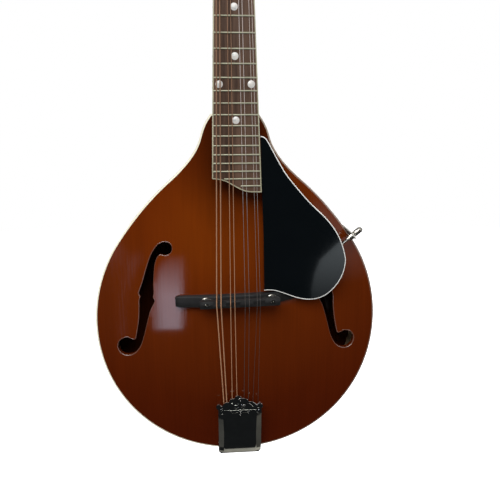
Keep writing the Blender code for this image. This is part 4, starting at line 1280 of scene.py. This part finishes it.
def make_tuners():
    screws = Shape()
    for sign in (-1, 1):
        for across, down in PLATE_SCREWS:
            spot = head(sign * across, down, -HEAD_WOOD - 1.05)
            behind = head(0, 0, -1) - head(0, 0, 0)
            screw(screws, spot, behind + spot, 1.2)
    show("plate_screws", screws, "nickel")
    for side in ("bass", "treble"):
        repaint(f"tuner_plate_{side}", "nickel", 0.3)

    bushings = Shape()
    for sign, name, down in tuner_places():
        foot = head(sign * TUNER_ACROSS, down, 0)
        turn = frame_of(
            foot, head(sign * TUNER_ACROSS + 1, down, 0), head(sign * TUNER_ACROSS, down + 1, 0),
        )
        profile = (
            (3.15, -1.0), (3.15, 1.5), (3.5, 1.75), (4.1, 1.6), (4.6, 0.9), (4.7, 0.02), (4.7, -0.2),
            (3.6, -0.2), (3.6, -1.0), (3.15, -1.0),
        )
        bushings.turned(profile, turn, 32)

        def gear(angle, radius, z):
            if radius < 4.0 or z > -16:
                return radius
            return 4.75 + 0.45 * max(-1, min(1, 1.8 * math.cos(angle * WORM_TEETH)))

        profile = [
            (0, 15.1), (2.2, 15.1), (2.75, 14.8), (2.95, 14.3), (2.95, 12.2), (2.6, 11.5), (2.4, 11.0),
            (2.4, 9.5), (2.65, 8.9), (3.0, 8.4), (3.0, -16.9),
        ]
        profile += [
            (4.9, -16.95), (5.0, -17.2), (5.0, -20.1), (4.9, -20.3), (2.4, -20.3), (2.4, -20.9),
            (2.1, -21.2), (0, -21.2),
        ]
        post = Shape().turned(profile, turn, 90, shape=gear)
        radius = next(entry[1] for entry in STRINGS if entry[5] == name)
        coil = []
        for k in range(3 * 14 + 1):
            angle = sign * (2 * math.pi * k / 14) + (0 if sign < 0 else math.pi)
            lift = 10.7 - min(2.4 * radius, 0.5) * k / 14
            across, along = (
                CAPSTAN_WAIST + radius
            ) * math.cos(angle), (CAPSTAN_WAIST + radius) * math.sin(angle)
            coil.append(head(sign * TUNER_ACROSS + across, down + along, lift))
        post.tube(coil, radius, 8, 1)
        wire = "bronze" if radius > WOUND_FROM else "steel"
        show(f"capstan_{name}", post, ("nickel", wire), f"post_{name}", f"tuner_post_{name}")

        here = head(sign * 10, down - WORM_OFFSET, WORM_DEPTH)
        turn = axis_frame(here, head(sign * 11, down - WORM_OFFSET, WORM_DEPTH))
        knob = Shape()
        profile = (
            (0, 1.6), (1.4, 1.6), (1.5, 1.8), (1.5, 5.4), (1.75, 5.8), (1.75, 12.2), (1.5, 12.5),
            (1.5, 27.0), (2.4, 27.2), (2.6, 28.2), (2.4, 29.4), (1.6, 29.8), (0, 29.8),
        )
        knob.turned(profile, turn, 24)
        worm = []
        for k in range(5 * 16 + 1):
            angle = 2 * math.pi * k / 16
            x, y = 1.85 * math.cos(angle), 1.85 * math.sin(angle)
            worm.append(turn @ (Vector((x, y, 6.2 + 5.6 * k / 80)) / 1000))
        knob.tube(worm, 0.36, 8)

        def button(angle, radius, z):
            return (radius, radius * 0.56)

        profile = [(0, 29.2), (2.2, 29.2)]
        profile += [
            (6.3 * math.sin(math.acos(-1 + 2 * k / 16)) ** 0.62, 29.4 + 11.6 * k / 16)
            for k in range(1, 16)
        ]
        profile = [point for point in profile if point[0] > 2.2 or point[1] < 30] + [(0, 41.0)]
        knob.turned(profile, turn, 48, 1, button)
        show(
            f"peg_{name}", knob, ("nickel", "button"), f"knob_{name}",
            f"tuner_knob_{name}", smooth=50,
        )
    show("bushings", bushings, "nickel")


# Strings


def make_strings():
    """Each string in three stretches: tail to saddle, saddle to nut, and nut to post."""
    nut_top = board_height(SCALE) + NUT_CROWN
    lanes = {name: (sign, down) for sign, name, down in tuner_places()}
    for name, radius, nut, saddle, hook, post in STRINGS:
        skin, slot = ("bronze", "wound_bronze") if radius > WOUND_FROM else ("steel", "plain_steel")
        sign, down = lanes[post]
        skew = saddle * math.tan(BRIDGE_SKEW)
        tail = at(hook, HOOK_ALONG, HOOK_HEIGHT + 0.2)
        bridge = at(saddle, skew, SADDLE_TOP + radius + 0.05)
        top = at(nut, SCALE + 1.7, nut_top + radius + 0.6)
        peg = head(sign * (TUNER_ACROSS - CAPSTAN_WAIST - radius), down, 10.4)
        node = f"string_{name}"

        def line(start, end, steps):
            return [start.lerp(end, k / steps) for k in range(steps + 1)]

        low = Shape().tube(line(tail, bridge, 14), radius, 10)
        loops = []
        for k in range(22):
            around = (radius * 1.1 * math.cos(k), -radius * 1.1 * math.sin(k), 1.0 + 0.55 * k)
            loops.append(tail + Vector(around) / 1000)
        low.tube(loops, radius * 0.6, 6)
        made = show(f"{name}_tail", low, skin, None, node)
        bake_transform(made)
        made = show(
            f"{name}_speaking", Shape().tube(line(bridge, top, 24), radius, 10), skin, None, node,
        )
        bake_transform(made)
        show(f"{name}_head", Shape().tube(line(top, peg, 8), radius, 10), skin, "body", node)


# Lights, floor and camera


def area_light(name, spot, target, size, power, colour=(1, 1, 1)):
    data = bpy.data.lights.new(name, "AREA")
    data.shape = "RECTANGLE"
    data.size, data.size_y = size
    data.energy = power
    data.color = colour
    made = bpy.data.objects.new(name, data)
    bpy.context.scene.collection.objects.link(made)
    turn = (Vector(target) - Vector(spot)).to_track_quat("-Z", "Y").to_matrix().to_4x4()
    made.matrix_world = Matrix.Translation(Vector(spot)) @ turn
    return made


def glow(name, corners, colour, strength, fade_x, fade_z, up="Z"):
    """A bright card that only shiny surfaces see, fading towards one side and one end."""
    skin = Skin(name, Base_Color=(0, 0, 0), Emission_Color=colour)
    places = skin.node("ShaderNodeSeparateXYZ", {0: skin.place()}).outputs
    side = skin.spread(places["X"], 0.0, 1.0, *fade_x)
    end = skin.spread(places[up], 0.0, strength, *fade_z)
    skin.feed("Emission Strength", skin.math("MULTIPLY", side, end))
    mesh = Shape().rings([corners, [point + Vector((0, -0.01, 0)) for point in corners]]).mesh()
    mesh.materials.append(skin.material)
    made = bpy.data.objects.new(name, mesh)
    bpy.context.scene.collection.objects.link(made)
    made.visible_camera = False
    made.visible_diffuse = False
    made.visible_shadow = False


def card(name, corners, colour, strength, fade_x, fade_z):
    glow(name, [Vector((x, CARD_PLANE, z)) for x, z in corners], colour, strength, fade_x, fade_z)


def make_world():
    """A grey room for diffuse light, a dark one for reflections, and white behind the object."""
    world = bpy.data.worlds.new("studio")
    bpy.context.scene.world = world
    world.use_nodes = True
    tree = world.node_tree
    tree.nodes.clear()
    path = tree.nodes.new("ShaderNodeLightPath")
    shades = []
    for colour in ((0.32, 0.32, 0.33), (0.010, 0.011, 0.012), (1, 1, 1)):
        shade = tree.nodes.new("ShaderNodeBackground")
        shade.inputs["Color"].default_value = (*colour, 1)
        shades.append(shade)
    room, dim, white = shades
    mirror = tree.nodes.new("ShaderNodeMixShader")
    seen = tree.nodes.new("ShaderNodeMixShader")
    out = tree.nodes.new("ShaderNodeOutputWorld")
    tree.links.new(path.outputs["Is Glossy Ray"], mirror.inputs[0])
    tree.links.new(room.outputs[0], mirror.inputs[1])
    tree.links.new(dim.outputs[0], mirror.inputs[2])
    tree.links.new(path.outputs["Is Camera Ray"], seen.inputs[0])
    tree.links.new(mirror.outputs[0], seen.inputs[1])
    tree.links.new(white.outputs[0], seen.inputs[2])
    tree.links.new(seen.outputs[0], out.inputs[0])


def make_studio():
    make_world()
    floor_skin = Skin("studio_floor", Roughness=0.9)
    floor_skin.shader.inputs["Emission Strength"].default_value = 1.0
    cloud = floor_skin.noise(1.5, detail=2.0)
    floor_skin.feed("Emission Color", floor_skin.ramp(cloud, ((0.0, grey(0.99)), (1.0, grey(1.0)))))
    ring = [
        Vector((4 * math.cos(a), 4 * math.sin(a), -0.3))
        for a in [2 * math.pi * k / 64 for k in range(64)]
    ]
    under = [point + Vector((0, 0, -0.02)) for point in ring]
    mesh = Shape().rings([under, ring]).mesh()
    mesh.materials.append(floor_skin.material)
    floor = bpy.data.objects.new("studio_floor", mesh)
    bpy.context.scene.collection.objects.link(floor)
    floor.visible_glossy = False
    floor.visible_diffuse = False
    floor.visible_shadow = False

    left = ((-0.491, -0.414), (-0.445, 0.24), (-0.75, 0.24), (-0.78, -0.44))
    card("left_card", left, (0.86, 0.93, 1.15), 3.5, (-0.76, -0.66), (0.22, -0.12))
    right = (
        (0.36, -0.24), (0.66, -0.24), (0.66, 0.12), (0.56, 0.12), (0.50, 0.055), (0.391, -0.043),
        (0.371, -0.092), (0.36, -0.149),
    )
    card("right_card", right, (0.9, 1.0, 1.05), 1.3, (0.2, 0.3), (-0.22, 0.04))
    high = ((0.70, -0.10), (1.12, -0.10), (1.12, 0.44), (0.66, 0.44))
    card("high_card", high, (1.0, 0.90, 0.9), 0.6, (0.66, 0.80), (-0.10, 0.22))
    for name, low, far, front, light in (
        ("sweep_left", -0.80, -0.30, -0.42, 0.04),
        ("sweep_middle", -0.20, 0.30, -0.175, 0.40),
        ("sweep_right", 0.30, 0.90, -0.42, 0.09),
    ):
        corners = [
            Vector((x, y, SWEEP_HEIGHT))
            for x, y in ((low, front), (far, front), (far, 0.2), (low, 0.2))
        ]
        glow(name, corners, (1.0, 0.97, 0.84), light, (low - 0.4, far), (front - 0.05, front + 0.02), "Y")

    body = (0.0, -0.03, 0.2)
    area_light("key", (-0.55, -1.45, 1.65), body, (2.2, 1.4), 58)
    area_light("side_box", (1.5, -0.9, 0.75), body, (0.7, 0.9), 5)
    area_light("back_fill", (0.9, 1.9, 1.0), body, (1.6, 1.6), 30)
    area_light("low_fill", (-1.7, 1.2, 0.1), body, (1.2, 1.2), 9)


def make_camera():
    forward = Vector(CAMERA_FORWARD).normalized()
    up = Vector(CAMERA_UP)
    right = forward.cross(up).normalized()
    up = right.cross(forward)
    data = bpy.data.cameras.new("camera")
    data.sensor_width = CAMERA_SENSOR
    data.lens = CAMERA_LENS
    data.clip_start = 0.01
    camera = bpy.data.objects.new("camera", data)
    bpy.context.scene.collection.objects.link(camera)
    turn = Matrix((right, up, -forward)).transposed().to_4x4()
    camera.matrix_world = Matrix.Translation(Vector(CAMERA_PLACE)) @ turn
    bpy.context.scene.camera = camera


def main():
    make_camera()
    height = make_body()
    make_neck()
    make_fretboard()
    make_bridge(height)
    make_tailpiece()
    make_guard()
    make_tuners()
    make_strings()
    make_studio()
    bpy.context.scene.view_settings.view_transform = "Standard"


main()
